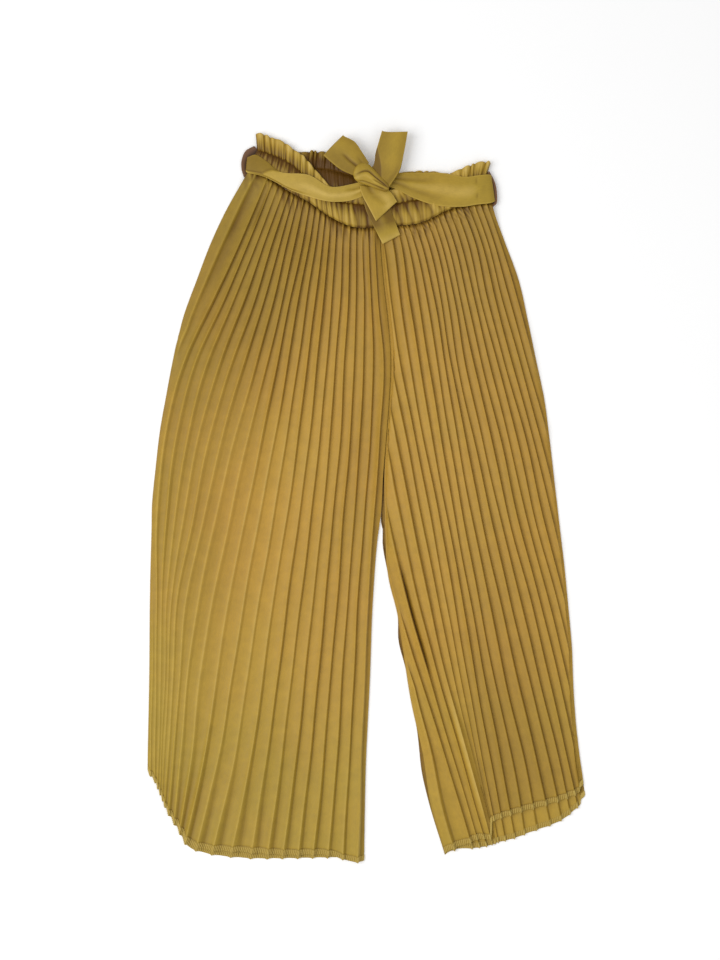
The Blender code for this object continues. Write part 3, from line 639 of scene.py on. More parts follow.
def add_threads(name, paths, width, height):
    """Threads along many paths at once, joined in one mesh: a ring of six points round each point
    of a path, its half width across and its half height up, with both ends closed."""
    threads, points = paths.shape[:2]
    way = np.gradient(paths, axis=1)
    way /= np.linalg.norm(way, axis=2, keepdims=True) + 1e-9
    across = np.cross(way, (0, 0, 1))
    across /= np.linalg.norm(across, axis=2, keepdims=True) + 1e-9
    up = np.cross(across, way)
    angles = (np.arange(6) * np.pi / 3)[:, None]
    ring = across[:, :, None] * np.cos(angles) * width + up[:, :, None] * np.sin(angles) * height
    number = np.arange(threads * points * 6).reshape(threads, points, 6)
    after = np.roll(number, -1, axis=2)
    sides = np.stack([number[:, :-1], after[:, :-1], after[:, 1:], number[:, 1:]], -1).reshape(-1, 4)
    ends = np.concatenate([number[:, 0, ::-1], number[:, -1]])
    skin = (paths[:, :, None] + ring).reshape(-1, 3) * MM
    mesh = bpy.data.meshes.new(name)
    mesh.from_pydata(skin.tolist(), [], sides.tolist() + ends.tolist())
    mesh.shade_smooth()
    return add_object(name, mesh)


def hem_loops(surface):
    """Paths of an overlock's loops: places at even steps of the hem's own length, and for each a
    line up the band, read from the last rows of the panel's grid and held above the cloth."""
    edge = surface[-1]
    length = np.append(0, np.cumsum(np.linalg.norm(np.diff(edge, axis=0), axis=1)))
    places = np.arange(OVERLOCK_PITCH, length[-1] - OVERLOCK_PITCH, OVERLOCK_PITCH)
    paths = []
    for share in LOOP_STEPS:
        column = np.interp(places + LOOP_LEAN * share, length, np.arange(len(length)))
        drop = np.linalg.norm(surface[-1, :, :2] - surface[-len(HEM_ROWS), :, :2], axis=1).mean()
        row = len(surface) - 1 - share * HEM_BAND / drop * (len(HEM_ROWS) - 1)
        low, left = int(np.floor(row)), np.floor(column).astype(int)
        low = min(low, len(surface) - 2)
        slide, turn = row - low, (column - left)[:, None]
        here = surface[low, left] * (1 - turn) + surface[low, left + 1] * turn
        there = surface[low + 1, left] * (1 - turn) + surface[low + 1, left + 1] * turn
        lift = LOOP_HEIGHT * (0.35 + 0.9 * np.sin(np.pi * min(share + 0.1, 1)))
        paths.append(here * (1 - slide) + there * slide + np.array((0, 0, lift)))
    return np.stack(paths, 1)


THREAD_SHADE = "#2A1B10"  # painted shade: the colour of thread where it turns away into shadow
TWISTS = 2500.0  # turns of the yarn's twist to a metre


def sewing_thread(name, colour):
    """Spun polyester thread: matt, with a fine twist that shows as a tiny bump along it, and painted shade
    where its piece carries it.
    """
    material, tree, shader = add_material(name)
    shade = node(tree, "Attribute", {"attribute_name": "painted_shade_and_highlight"}).outputs["Fac"]
    thread_with_painted_shade = mixed(tree, shade, linear(colour), linear(THREAD_SHADE))
    tree.links.new(thread_with_painted_shade, shader.inputs["Base Color"])
    shader.inputs["Roughness"].default_value = 0.75
    place = node(tree, "TexCoord").outputs["Object"]
    twist = node(tree, "TexNoise", Vector=place, Scale=TWISTS, Detail=1.0)
    rough = node(tree, "Bump", Strength=0.3, Distance=0.0001, Height=twist.outputs["Fac"])
    tree.links.new(rough.outputs[0], shader.inputs["Normal"])
    return material


overlock = sewing_thread("spun_polyester_overlock", OVERLOCK_THREAD)
for panel_name, surface in leg_surfaces.items():
    loops = add_threads(panel_name + "_overlock", hem_loops(surface), LOOP_WIDTH, LOOP_HEIGHT)
    loops.data.materials.append(overlock)
    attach(loops, "root")


# ----------------------------------------------------------------------
# The casings and ruffle headings. The top of each panel is turned over wide elastic and stitched
# above and below it. The cloth bunches there, and the turned heading above stands as a ruffle.

# A column for each station across the waist: the ruffle's free edge, the pinched line between it
# and the casing, half the height of the ruffle's waves, and the sash's edges where it presses on the
# front. FRONT_SEAM and BACK_SEAM end the casing.
FRONT_WAIST = {
    "edge x": (-145, -125, -99, -74, -46, -12, 32, 71, 110, 139, 164),
    "edge y": (477, 472, 459, 438, 407, 401, 402, 409, 423, 436, 440),
    "pinch x": (-143, -124, -99, -75, -48, -12, 32, 71, 110, 137, 157),
    "pinch y": (456, 450, 438, 417, 392, 385, 385, 392, 403, 414, 419),
    "seam x": FRONT_SEAM["x"],
    "seam y": FRONT_SEAM["y"],
    "wave": (1.2, 1.5, 1.4, 1.2, 0.9, 0.8, 0.8, 0.9, 1.2, 2, 2),
    "sash high": (451, 443, 424, 422, 407, 412, 425, 425, 424, 421, 422),
    "sash low": (426, 417, 404, 393, 386, 389, 405, 390, 381, 382, 386),
}
BACK_WAIST = {
    "edge x": (-144, -120, -90, -67, -45, -12, 32, 77, 107, 136, 161),
    "edge y": (475, 469, 454, 454, 451, 440, 426, 428, 425, 432, 438),
    "pinch x": (-143, -121, -91, -69, -46, -12, 32, 74, 107, 135, 157),
    "pinch y": (455, 450, 435, 432, 430, 421, 409, 409, 406, 411, 418),
    "seam x": BACK_SEAM["x"],
    "seam y": BACK_SEAM["y"],
    "wave": (0.8, 0.9, 1.6, 2.2, 1.5, 0.8, 0.8, 1.3, 0.8, 0.8, 0.8),
}
SASH_BED = 8.2  # how low the sash presses the front casing's gathers under it
CASING_GATHERS, RUFFLE_WAVES = 36, 26
PUFF = 1.8  # how far a casing bulges over its elastic
SEAM_ROLL = 1.6  # how far it rolls down into its two stitched lines
RUFFLE_FOLD = 2.8  # thickness at the ruffle's turned edge
RUFFLE_LAP = 1.6  # how far the heading runs in under the casing's stitches
GATHER_WALL = 0.6
FLOOR_GAP = 0.1  # least height of a ruffle's underside above the floor
# Between which shares of their mean the gathers and the ruffle's waves are drawn: widths, heights.
GATHER_WIDTHS, GATHER_HEIGHTS, GATHER_SHIFT = (0.55, 1.45), (0.5, 1.0), (-0.4, 0.4)
WAVE_WIDTHS, WAVE_HEIGHTS = (0.45, 1.7), (0.3, 1.3)
INSIDE_SHADE = 1.0  # painted shade: how much darker the back is painted inside the waist
INSIDE, INSIDE_FADE = (-135, 20), 30  # from where to where that shows, fading over a length
BOW_SHADE, BOW_MIDDLE = 0.45, 16  # and the front casing's painted shadow of the bow, beside its middle
RIGHT_END_SHADE, RIGHT_END = 0.2, -55  # and the front casing's painted shade beyond this place towards the wearer's right
FINE_GATHERS, RUFFLE_GATHERS = 74, 64  # the small gathers of a casing, and of a ruffle's foot
WIDE_SHARE, FINE_SHARE = 0.72, 0.4  # parts of a gather's height that the two sizes have
STITCHED = 0.13  # share of a casing's height that rolls down to each stitched line
HELD_END = 0.03  # share of its width over which its gathers sink at a side seam
SASH_PRESS = 3  # distance over which it dips under each edge of the sash
GATHER_SHADE, STITCH_SHADE, PINCH_SHADE = 1.4, 0.5, 0.85  # between gathers, at stitches, up high


def gathers(count, across, down, seed):
    """Ridges of uneven width and height with tight valleys: the absolute sine of a place that
    runs from one drawn set of valleys above to another below, times a drawn height for each."""
    draw = np.random.default_rng(seed)
    upper = np.append(0, np.cumsum(draw.uniform(*GATHER_WIDTHS, count)))
    fan = 2.0 * np.sin(np.pi * np.arange(count + 1) / count) * (np.arange(count + 1) / count - 0.3)
    lower = upper + fan + np.append(0, np.append(draw.uniform(*GATHER_SHIFT, count - 1), 0))
    heights = np.append(draw.uniform(*GATHER_HEIGHTS, count), 1.0)
    above = np.interp(across, upper / upper[-1], np.arange(count + 1))
    below = np.interp(across, lower / lower[-1], np.arange(count + 1))
    place = above + (below - above) * ease(down)
    return np.abs(np.sin(np.pi * place)) ** 0.7 * heights[np.floor(place).astype(int)]


def waist_lines(waist, across):
    """The lines of a waist table, read smoothly at shares of the way across it."""
    stations = np.linspace(0, 1, len(waist["wave"]))
    return {name: smooth(across, stations, column) for name, column in waist.items()}


def casing_surface(waist, level, gather, seed):
    """A band from the pinched line to the seam: its bulge is a half sine across it, gathers of two
    sizes stand on that, and both edges roll down to their stitches."""
    across = np.linspace(0, 1, CASING_GATHERS * 12 + 1)[None, :]
    down = ease(np.linspace(0, 1, 20))[:, None]
    lines = waist_lines(waist, across[0])
    x = lines["pinch x"] + (lines["seam x"] - lines["pinch x"]) * down
    y = lines["pinch y"] + (lines["seam y"] - lines["pinch y"]) * down - TOUCH * (1 - down)
    wide = gathers(CASING_GATHERS, across, down, seed)
    stand = WIDE_SHARE * wide + FINE_SHARE * gathers(FINE_GATHERS, across, down, seed + 1)
    roll = 1 - ease(down / STITCHED) + 1 - ease((1 - down) / STITCHED)
    held = ease(np.minimum(across, 1 - across) / HELD_END)
    z = level + (PUFF * np.sin(np.pi * down) + gather * stand) * (0.3 + 0.7 * held) - SEAM_ROLL * roll
    if "sash low" in lines:
        under = ease((y - lines["sash low"]) / SASH_PRESS) * ease((lines["sash high"] - y) / SASH_PRESS)
        z = z - np.maximum(z - SASH_BED, 0) * under
    # Painted shade between the gathers, at the stitched lines and up near the pinched line, and painted
    # highlight on the tallest gathers.
    painted_shade_and_highlight = GATHER_SHADE * (0.7 - stand) + STITCH_SHADE * roll + PINCH_SHADE * (1 - ease(down / 0.7))
    return np.stack([x + 0 * z, y + 0 * z, z], -1), np.clip(painted_shade_and_highlight, -0.3, 1.1)


def ruffle_surface(waist, level, lift, seed):
    """The turned heading as one sheet: up its face from the pinched line, over the fold and down
    inside. Rounded waves of drawn widths run up it, with finer gathers at the stitches."""
    across = np.linspace(0, 1, RUFFLE_WAVES * 16 + 1)[None, :]
    layer = np.linspace(0.12, 1, 9)
    turn = np.concatenate([-layer[::-1], np.linspace(-0.07, 0.07, 5), layer])[:, None]
    up = 1 - np.abs(turn) ** 1.3
    draw = np.random.default_rng(seed)
    places = np.append(0, np.cumsum(draw.uniform(*WAVE_WIDTHS, RUFFLE_WAVES)))
    wave_at = np.interp(across, places / places[-1], np.arange(RUFFLE_WAVES + 1))
    wave = 2 * np.abs(np.sin(np.pi * wave_at)) ** 0.8 - 1.2
    heights = np.append(draw.uniform(*WAVE_HEIGHTS, RUFFLE_WAVES), 1.0)
    wave = wave * heights[np.floor(wave_at).astype(int)]
    small = gathers(RUFFLE_GATHERS, across, 1 - up, seed + 1)
    lines = waist_lines(waist, across[0])
    x = lines["pinch x"] + (lines["edge x"] - lines["pinch x"]) * up
    x = x + 0.8 * up * np.sin(2.3 * wave_at)
    y = lines["pinch y"] + (lines["edge y"] - lines["pinch y"]) * up - RUFFLE_LAP * (1 - up) ** 2
    y = y + up * (0.55 * lines["wave"] * wave + 0.5 * np.sin(2.1 * wave_at))
    stand = lines["wave"] * (0.5 + 0.5 * up) * wave + 1.5 * (small - 0.4) * (1 - 0.8 * up)
    half = RUFFLE_FOLD / 2 * np.tanh(-turn / 0.1) * (0.3 + 0.7 * up)
    z = level + lift * up + stand + half - 1.3 * (1 - ease(up / 0.3))
    z = np.maximum(z, FLOOR_GAP + (GATHER_WALL + FLOOR_GAP) * (turn < 0))
    # Painted shade low on the ruffle and between its small gathers, and painted highlight on its wave crests
    # and near its edge.
    painted_shade_and_highlight = 0.75 * (1 - ease(up / 0.8)) - 0.6 * wave * up + 1.4 * (0.55 - small) * (1 - up)
    painted_shade_and_highlight = np.clip(painted_shade_and_highlight - 0.2 * ease(2 * up - 1), -0.7, 1.1)
    return np.stack([x + 0 * z, y + 0 * z, z], -1)[::-1], np.broadcast_to(painted_shade_and_highlight, z.shape)[::-1]


gather_satin = polyester_satin("gathered_polyester_satin", 0.9)
# The waist's pieces by name: the surface, the cut of each with its gathers drawn out and what it
# lies on. A ruffle's cut counts both its layers.
WAIST_PIECES = {
    "back_casing": (
        casing_surface(BACK_WAIST, level=2.6, gather=1.4, seed=11), (0.40, 0.034), "sash_back_satin",
    ),
    "back_ruffle": (
        ruffle_surface(BACK_WAIST, level=2.8, lift=0.0, seed=21), (0.40, 0.040), "floor",
    ),
    "front_casing": (
        casing_surface(FRONT_WAIST, level=6.2, gather=2.2, seed=31), (0.40, 0.034), "back_casing_cloth",
    ),
    "front_ruffle": (
        ruffle_surface(FRONT_WAIST, level=6.4, lift=0.8, seed=41), (0.40, 0.040), "back_ruffle_cloth",
    ),
}
for waist_name, ((surface, shade_and_highlight), cut, rest) in WAIST_PIECES.items():
    x = surface[..., 0]
    # Painted shade inside the waist, and on the front casing the bow's painted shadow and painted shade
    # towards the wearer's right.
    if waist_name.startswith("back"):
        start, end = ease((x - INSIDE[0]) / INSIDE_FADE), ease((INSIDE[1] - x) / INSIDE_FADE)
        shade_and_highlight = np.clip(shade_and_highlight + INSIDE_SHADE * start * end, 0, 1.1)
    if waist_name == "front_casing":
        shade_and_highlight = shade_and_highlight + BOW_SHADE * ease(1.6 - abs(x - BOW_MIDDLE) / 25)
        shade_and_highlight = shade_and_highlight + RIGHT_END_SHADE * ease((RIGHT_END - x) / 20)
    band = add_surface(waist_name + "_cloth", surface, shade_and_highlight, 0.7, GATHER_WALL)
    band.data.materials.append(gather_satin)
    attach(band, "root")
    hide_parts(waist_name)


# ----------------------------------------------------------------------
# The sash and its bow: a tube of the same satin, turned out and pressed flat, so it is double and
# its edges are soft folds. It is tied in front in a bow with two loops and two short tails.

# Each ribbon runs through sections: one edge (x, y), the other edge (x, y) and the height of its
# middle surface.
SASH_SECTIONS = {
    "sash_back": (
        (-156.6, 446, -158.4, 428, 0.7),
        (-100, 431, -102, 407, 0.7),
        (-55, 425, -57, 399, 0.7),
        (0, 415, 0, 389, 0.7),
        (60, 404, 58, 382, 0.7),
        (112, 403, 112, 382, 0.7),
        (165, 422, 169.8, 389, 0.7),
    ),
    "sash_front_right": (
        (-156.7, 446.2, -158.7, 428.2, 1.8),
        (-156.4, 445.5, -158.2, 426.9, 5.8),
        (-153.8, 445.9, -155, 424.2, 8.8),
        (-144.4, 448.1, -137.4, 420.3, 9.5),
        (-130.5, 439.2, -119.5, 412.3, 9.6),
        (-111.5, 425.2, -98.6, 401.3, 9.6),
        (-75.7, 421.8, -73.7, 392.4, 9.4),
        (-47.8, 406.4, -47.8, 386.4, 9.3),
        (-19.9, 409.4, -21.9, 387.5, 9.2),
        (-0, 415.3, -2, 394.4, 9.2),
        (8.9, 417.3, 7.9, 399.4, 9.2),
    ),
    "sash_front_left": (
        (13.9, 425.3, 13.9, 409.4, 9.2),
        (44.8, 424.3, 37.8, 403.4, 9.2),
        (69.7, 424.3, 61.7, 391.4, 9.2),
        (99.5, 424.3, 91.6, 381.5, 9.2),
        (128.4, 419.3, 124.4, 379.5, 9.2),
        (147.3, 421.2, 145.3, 382.4, 9.6),
        (160.3, 422.3, 162.3, 384.3, 9.1),
        (164.5, 421.7, 169.3, 387.2, 6.2),
        (165.1, 422.1, 169.9, 388.3, 1.8),
    ),
    "bow_loop_right": (
        (-16.9, 420.4, 3.9, 436.5, 13.4),
        (-32.9, 427.5, -5, 450.4, 13.2),
        (-45.8, 437.4, -15, 464.3, 13.4),
        (-53.7, 444.3, -27.9, 471.2, 13.8),
        (-55.3, 445.6, -29.5, 472.4, 14.6),
        (-55.8, 445.9, -30, 472.7, 16),
        (-55.2, 445, -29.4, 471.8, 17.4),
        (-53.6, 443.5, -27.8, 470.2, 18.2),
        (-45.7, 436.5, -14.9, 463.3, 18.4),
        (-32.8, 426.7, -5, 449.5, 18),
        (-16.9, 419.5, 3.9, 435.6, 17.8),
    ),
    "bow_loop_left": (
        (11.1, 437, 35.5, 412.2, 13.4),
        (12.9, 449.4, 44.7, 427.5, 13.2),
        (16.8, 465.3, 49.6, 449.4, 13.4),
        (20.4, 477.1, 54.2, 475.1, 13.8),
        (20.7, 478.4, 54.5, 476.5, 14.6),
        (20.8, 478.6, 54.5, 476.7, 16),
        (20.7, 477.9, 54.4, 475.9, 17.4),
        (20.4, 476.2, 54.1, 474.2, 18.2),
        (16.8, 464.3, 49.5, 448.4, 18.4),
        (12.3, 448.5, 43.6, 425.7, 18),
        (9.9, 433.7, 31.2, 405.9, 17.6),
        (2, 425, 25, 398, 16.6),
    ),
    "bow_tail_upper": (
        (-9, 408, 27.8, 403, 11.4),
        (-5, 394, 33.8, 396.9, 12),
        (2.9, 379, 37.7, 390.9, 12.4),
        (12.9, 360.1, 40.7, 386, 12.2),
    ),
    "bow_tail_lower": (
        (-4, 390.4, 27.8, 386.4, 9.6),
        (-0, 374.4, 31.8, 376.4, 9.8),
        (9.9, 353.5, 37.8, 361.5, 9.8),
        (21.9, 330.6, 44.8, 342.6, 9.6),
    ),
}
# Pulls and creases: where each starts and ends, as sections along the ribbon and shares of the way
# across it, its width across and how far it stands up, or down if negative. A trough is painted
# with shade and a ridge with a highlight.
RIBBON_CREASES = {
    "sash_front_right": (
        (1.8, 0.97, 6.2, 0.88, 0.035, -1.6), (5.0, 0.55, 10.5, 0.6, 0.16, 0.8),
        (7.5, 0.3, 10.5, 0.45, 0.10, -0.9), (8.0, 0.75, 10.5, 0.62, 0.08, -0.8),
    ),
    "sash_front_left": (
        (-0.5, 0.45, 3.0, 0.25, 0.10, -0.9), (-0.5, 0.6, 3.5, 0.75, 0.10, -0.8),
        (1.0, 0.5, 5.5, 0.5, 0.22, 0.9), (4.8, -0.1, 5.1, 1.1, 0.10, -0.9),
    ),
    "bow_loop_right": (
        (7.9, 0.44, 11.0, 0.52, 0.045, -1.6), (8.8, 0.78, 11.0, 0.66, 0.04, -0.5),
        (5.5, 0.62, 10, 0.68, 0.28, 0.8),
    ),
    "bow_loop_left": (
        (5.5, 0.6, 10, 0.65, 0.3, 0.8), (8.6, 0.95, 11.0, 0.8, 0.06, -0.5),
    ),
    "bow_tail_upper": (
        (-0.5, 0.3, 1.2, 0.36, 0.1, -0.8), (0.9, 0.4, 2.6, 0.62, 0.14, -0.6),
        (-0.5, 0.75, 3.5, 0.7, 0.2, 0.8),
    ),
    "bow_tail_lower": ((-0.5, 0.5, 2.6, 0.5, 0.16, 0.8), (-0.5, 0.25, 1.5, 0.3, 0.1, -0.7)),
}
# Where a ribbon turns over itself: the line of the turn, given as a crease is, how much lower the
# face beyond it lies and how much painted shade it has, and how dark the painted shade along its
# edge is. Then how far a loop's rounded end bows in or out, and the painted shade of each ribbon,
# below 0 a painted highlight, at even steps from its start to its end.
TURN_LINES = {"sash_front_right": (3.1, 0.9, 5.1, -0.1), "bow_loop_left": (8.2, -0.1, 10.3, 0.55)}
TURN_STEP, TURN_SHADE, TURN_LINE = 0.9, 0.75, 0.5
LOOP_END = 5  # the section at a loop's rounded end
END_BOWS = {"bow_loop_right": 0.8, "bow_loop_left": -2.4}
RIBBON_SHADE = {
    "sash_front_right": (0.1, -0.3, 0),
    "sash_front_left": (0.3, 0.1, 0.18),
    "bow_loop_right": (0.9, 0.4, 0.65),
    "bow_loop_left": (0.9, 0.4, 0.5),
    "bow_tail_upper": (0.3, 0, -0.05),
    "bow_tail_lower": (1, 1, 1, 1.1, 0.95, 0.1, -0.4),
}
SASH_WALL = 1.4  # both layers of the sash and the air pressed between them
SASH_CROWN = 0.7  # how far the middle of a ribbon stands above its edges
SASH_EDGE = 0.03  # share of the width over which its edge rounds off
RIBBON_STEPS = 8  # rows of points between two sections
LOOP_REACH = 2.2  # sections on each side of a loop's end over which it bows
# Points from an edge to the middle, as shares of the width.
SASH_ACROSS = np.array((
    0, 0.004, 0.014, 0.03, 0.06, 0.09, 0.13, 0.17, 0.21, 0.25, 0.29, 0.33, 0.37, 0.41, 0.45, 0.5,
))


def add_closed(name, grid, painted_shade_and_highlight, olive=0.9):
    """A closed skin over a grid of rings: quads along it, and a strip of quads across each end."""
    rings, around = grid.shape[:2]
    number = np.arange(rings * around).reshape(rings, around)
    after = np.roll(number, -1, axis=1)
    faces = np.stack([number[:-1], number[1:], after[1:], after[:-1]], -1).reshape(-1, 4)
    half = around // 2
    mate = (-np.arange(half)) % around
    polygons = faces.tolist()
    for ring in number[[0, -1]]:
        polygons += np.stack([ring[1:half - 1], ring[2:half], ring[mate[2:]], ring[mate[1:-1]]], -1).tolist()
        polygons += [[ring[half - 1], ring[half], ring[half + 1]], [ring[0], ring[1], ring[-1]]]
    mesh = bpy.data.meshes.new(name)
    mesh.from_pydata((grid.reshape(-1, 3) * MM).tolist(), [], polygons)
    shape = bmesh.new()
    shape.from_mesh(mesh)
    bmesh.ops.recalc_face_normals(shape, faces=shape.faces)
    shape.to_mesh(mesh)
    shape.free()
    return add_cloth(mesh, grid, painted_shade_and_highlight, olive)


def ribbon_surface(sections, thickness, crown, creased, shades=(0, 0), turned=None, bow=0):
    """Rings round a flat tube: the middle surface runs smoothly through the sections, crowned by a
    half sine, and the skin stands off it by a half thickness that rounds off at the edges. Each
    crease is a bell across a straight line drawn along the ribbon, with soft ends. Beyond the line
    of a turn the ribbon steps down, and halfway along it bows by a half sine. Painted shade follows
    the creases, the turn and the table of shades, and a painted highlight runs along both edges."""
    sections = np.array(sections, float)
    last = len(sections) - 1
    run, stations = np.linspace(0, last, last * RIBBON_STEPS + 1), np.arange(len(sections))
    first_x, first_y, last_x, last_y, z = (
        smooth(run, stations, column)[:, None] for column in sections.T
    )
    run = run[:, None]
    one_way = np.concatenate([SASH_ACROSS, 1 - SASH_ACROSS[-2::-1]])
    across = np.concatenate([one_way, one_way[-2:0:-1]])
    face = np.repeat((1.0, -1.0), (len(one_way), len(one_way) - 2))
    edge = np.clip(1 - np.minimum(across, 1 - across) / SASH_EDGE, 0, 1)
    middle = z + crown * np.sin(np.pi * across)
    fold = 0 * middle
    for from_run, from_across, to_run, to_across, width, rise in creased:
        share = (run - from_run) / (to_run - from_run)
        line = from_across + (to_across - from_across) * share
        ends = ease(np.minimum(share, 1 - share) * 4)
        fold += rise * bell(across - line, width) * ends
    shade = np.interp(run, np.linspace(0, last, len(shades)), shades) - 0.5 * fold
    if turned:
        from_run, from_across, to_run, to_across = turned
        share = np.clip((run - from_run) / (to_run - from_run), 0, None)
        line = from_across + (to_across - from_across) * share
        beyond = 1 - ease((across - line) / 0.06 + 0.5)
        fold -= TURN_STEP * beyond * (1 - 0.5 * (across / np.maximum(line, 0.05)))
        near_turn = np.clip(1 - abs(across - line) / 0.12, 0, 1)
        shade = shade + TURN_SHADE * beyond + TURN_LINE * beyond * near_turn
    middle = middle + fold
    x = first_x + (last_x - first_x) * across
    y = first_y + (last_y - first_y) * across
    y = y + bow * np.sin(np.pi * across**0.7) * bell(run - LOOP_END, LOOP_REACH)
    height = middle + face * thickness / 2 * np.sqrt(1 - edge**2)
    painted_highlight = 0.4 * np.clip(1 - np.minimum(across, 1 - across) / 0.05, 0, 1)
    return np.stack([x, y, height], -1), np.clip(shade - painted_highlight, -1, 1)


sash_satin = polyester_satin("pressed_polyester_satin")
# Each ribbon's size laid out flat, and what it lies on.
RIBBON_CUT = {
    "sash_back": ((0.33, 0.025), "floor"),
    "sash_front_right": ((0.18, 0.027), "front_casing_cloth"),
    "sash_front_left": ((0.17, 0.036), "front_casing_cloth"),
    "bow_loop_right": ((0.12, 0.036), "front_casing_cloth"),
    "bow_loop_left": ((0.12, 0.036), "back_ruffle_cloth"),
    "bow_tail_upper": ((0.045, 0.038), "bow_tail_lower_satin"),
    "bow_tail_lower": ((0.06, 0.030), "front_casing_cloth"),
}
for ribbon, (cut, rest) in RIBBON_CUT.items():
    crown = 0 if ribbon == "sash_back" else SASH_CROWN
    creased, shades = RIBBON_CREASES.get(ribbon, ()), RIBBON_SHADE.get(ribbon, (0.5, 0.5))
    turned, bow = TURN_LINES.get(ribbon), END_BOWS.get(ribbon, 0)
    sections = SASH_SECTIONS[ribbon]
    surface, shade_and_highlight = ribbon_surface(sections, SASH_WALL, crown, creased, shades, turned, bow)
    band = add_closed(ribbon + "_satin", surface, shade_and_highlight)
    band.data.materials.append(sash_satin)
    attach(band, "root")
    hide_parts(ribbon)


# ----------------------------------------------------------------------
# The belt carriers: at each side a narrow flat chain of polyester thread, drawn dark brown, worked
# into the side seam above and below the sash, which runs through it.
CARRIER_THREAD = "#765338"
CARRIER_WALL = 1.6
# Their sections, as the sash's, and the crease that hollows each along its inner edge and paints shade
# there.
CARRIER_SECTIONS = {
    "carrier_right": (
        (-141, 454, -147.6, 460.6, 4),
        (-146, 446.8, -158.8, 454.2, 3.6),
        (-154.4, 441, -164, 442, 3.4),
        (-155.4, 431, -164.2, 430.4, 3.4),
        (-152.8, 425.8, -160.9, 419, 3.8),
    ),
    "carrier_left": (
        (158, 422.6, 162, 427.6, 5),
        (162.4, 418.2, 167.6, 417.6, 5),
        (165, 408.2, 171, 408.2, 5),
        (166.6, 396.2, 172.6, 396.2, 5),
        (167, 387.2, 172.2, 385.6, 5),
        (164.8, 385.2, 167.4, 380.2, 5),
    ),
}
CARRIER_CREASES = {
    "carrier_right": ((-1, 0.1, 5, 0.1, 0.45, -1.7),),
    "carrier_left": ((-1, 0.1, 6, 0.1, 0.4, -1.5),),
}

carrier_thread = sewing_thread("chained_thread", CARRIER_THREAD)
for carrier, sections in CARRIER_SECTIONS.items():
    surface, shade_and_highlight = ribbon_surface(sections, CARRIER_WALL, 0, CARRIER_CREASES[carrier])
    band = add_closed(carrier + "_thread", surface, shade_and_highlight)
    band.data.materials.append(carrier_thread)
    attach(band, "root")
    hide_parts(carrier)


# ----------------------------------------------------------------------
# The knot: the sash's satin wrapped once round both loops and pulled tight, full where it comes over
# from the wearer's right and drawn to a point where it dives under the other loop.
KNOT_CENTRE = (7.5, 415.4, 17.0)
KNOT_LENGTH, KNOT_HEIGHT = 26.4, 6.2  # half its length and half its height
KNOT_TURN = np.radians(-33)
KNOT_WIDTHS = {
    "along": (-1, -0.95, -0.79, -0.58, -0.33, 0, 0.35, 0.72, 0.92, 1),
    "half": (0.4, 5.5, 11.3, 13.6, 12.8, 10.8, 8.8, 6.6, 4.2, 0.8),
}
KNOT_SWEEP = 4.0  # how steeply its creases come up round its full end
KNOT_DIP = 2.2 / 6  # how much deeper they cut its upper side, as a share of its height
# Its creases: the angle round it from the upper side, how much that turns along it, width and
# depth, and where each starts and ends along it.
KNOT_CREASES = (
    (1.12, 0.15, 0.13, 0.24, -0.85, 1.0),
    (1.62, -0.15, 0.10, 0.17, -0.05, 0.95),
    (2.40, -0.3, 0.12, 0.15, -0.6, 0.95),
    (1.85, 0.05, 0.16, 0.05, -0.7, 0.3),
)


def knot_surface():
    """A tapered bundle: rings round its long axis with the half widths of the table, less a bell
    across each crease. The creases run the long way and come up round the full end in a square law."""
    along = np.sin(np.linspace(-1, 1, 65) * np.pi / 2)[:, None]
    around = np.linspace(0, 2 * np.pi, 128, endpoint=False)[None, :]
    place = around - KNOT_SWEEP * np.clip(-along - 0.2, 0, None) ** 2
    groove = 0 * place
    for at, turn, width, depth, start, end in KNOT_CREASES:
        ends = ease((along - start) / 0.3) * ease((end - along) / 0.3)
        groove += depth * bell(place - at - turn * along, width) * ends
    half = smooth(along, KNOT_WIDTHS["along"], np.array(KNOT_WIDTHS["half"])) * (1 - groove)
    x = along * KNOT_LENGTH + 0 * around
    y = half * np.cos(around)
    z = KNOT_HEIGHT * (half / max(KNOT_WIDTHS["half"])) ** 0.6 * np.sin(around)
    z = z - KNOT_DIP * groove * KNOT_HEIGHT * np.maximum(np.sin(around), 0)
    turned_x = x * np.cos(KNOT_TURN) - y * np.sin(KNOT_TURN)
    turned_y = x * np.sin(KNOT_TURN) + y * np.cos(KNOT_TURN)
    # Painted shade in the creases and towards the end that dives under the other loop, and a painted
    # highlight along its upper side.
    shade = 4.6 * groove + 0.5 * ease(along / 0.9) - 0.45 * ease(1 - abs(place - 1.75) / 0.5) + 0.14
    return np.stack([turned_x, turned_y, z], -1) + KNOT_CENTRE, np.clip(shade, -0.4, 1.2)


surface, shade_and_highlight = knot_surface()
knot = add_closed("bow_knot_satin", surface, shade_and_highlight)
knot.data.materials.append(sash_satin)
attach(knot, "root")
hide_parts("bow_knot")


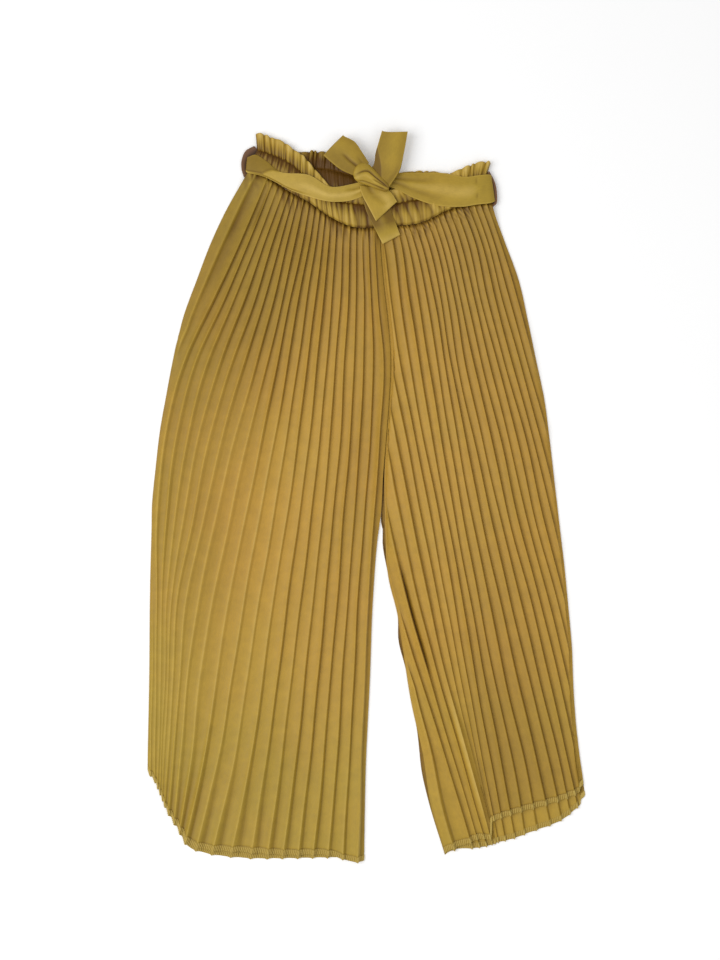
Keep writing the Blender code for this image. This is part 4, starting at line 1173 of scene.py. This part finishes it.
# ----------------------------------------------------------------------
# The floor, light and camera: white paper, a large soft light to the upper left, a weaker one to the
# right, and the camera straight above the garment, as in the photo.
WHITE = "#FFFFFF"
FLOOR_GLOW = 0.12  # light of its own that keeps the paper pure white
FLOOR_REACH = 6.0  # half the paper's width, in metres
SKY_LIGHT = 0.46
LIGHTS = {  # place and width in metres, and power in watts
    "window": ((-1.9, -0.1, 2.4), 2.2, 51),
    "fill": ((1.2, -0.8, 2.6), 2, 14),
}
FRAME_CENTRE = (-8.0, 20.6)  # where the middle of the picture falls on the floor
FRAME_HEIGHT = 1267.0  # how much of the floor the picture's height covers
CAMERA_HEIGHT = 2200.0
SENSOR = 36.0

corners = [(x * FLOOR_REACH, y * FLOOR_REACH, 0) for x, y in ((-1, -1), (1, -1), (1, 1), (-1, 1))]
floor_mesh = bpy.data.meshes.new("floor")
floor_mesh.from_pydata(corners, [], [(0, 1, 2, 3)])
floor = add_object("floor", floor_mesh)
paper, _, shader = add_material("white_paper")
shader.inputs["Base Color"].default_value = linear(WHITE)
shader.inputs["Roughness"].default_value = 0.9
shader.inputs["Emission Color"].default_value = linear(WHITE)
shader.inputs["Emission Strength"].default_value = FLOOR_GLOW
floor_mesh.materials.append(paper)

world = bpy.data.worlds.new("studio")
bpy.context.scene.world = world
world.use_nodes = True
world.node_tree.nodes["Background"].inputs["Color"].default_value = linear(WHITE)
world.node_tree.nodes["Background"].inputs["Strength"].default_value = SKY_LIGHT
bpy.context.scene.view_settings.view_transform = "Standard"

for light_name, (place, size, power) in LIGHTS.items():
    lamp = bpy.data.lights.new(light_name, "AREA")
    lamp.size = size
    lamp.energy = power
    holder = add_object(light_name, lamp)
    holder.location = place
    holder.rotation_euler = (-Vector(place)).to_track_quat("-Z", "Y").to_euler()

camera = add_object("camera", bpy.data.cameras.new("camera"))
camera.location = (FRAME_CENTRE[0] * MM, FRAME_CENTRE[1] * MM, CAMERA_HEIGHT * MM)
camera.data.sensor_width = SENSOR
camera.data.lens = SENSOR * CAMERA_HEIGHT / FRAME_HEIGHT
bpy.context.scene.camera = camera
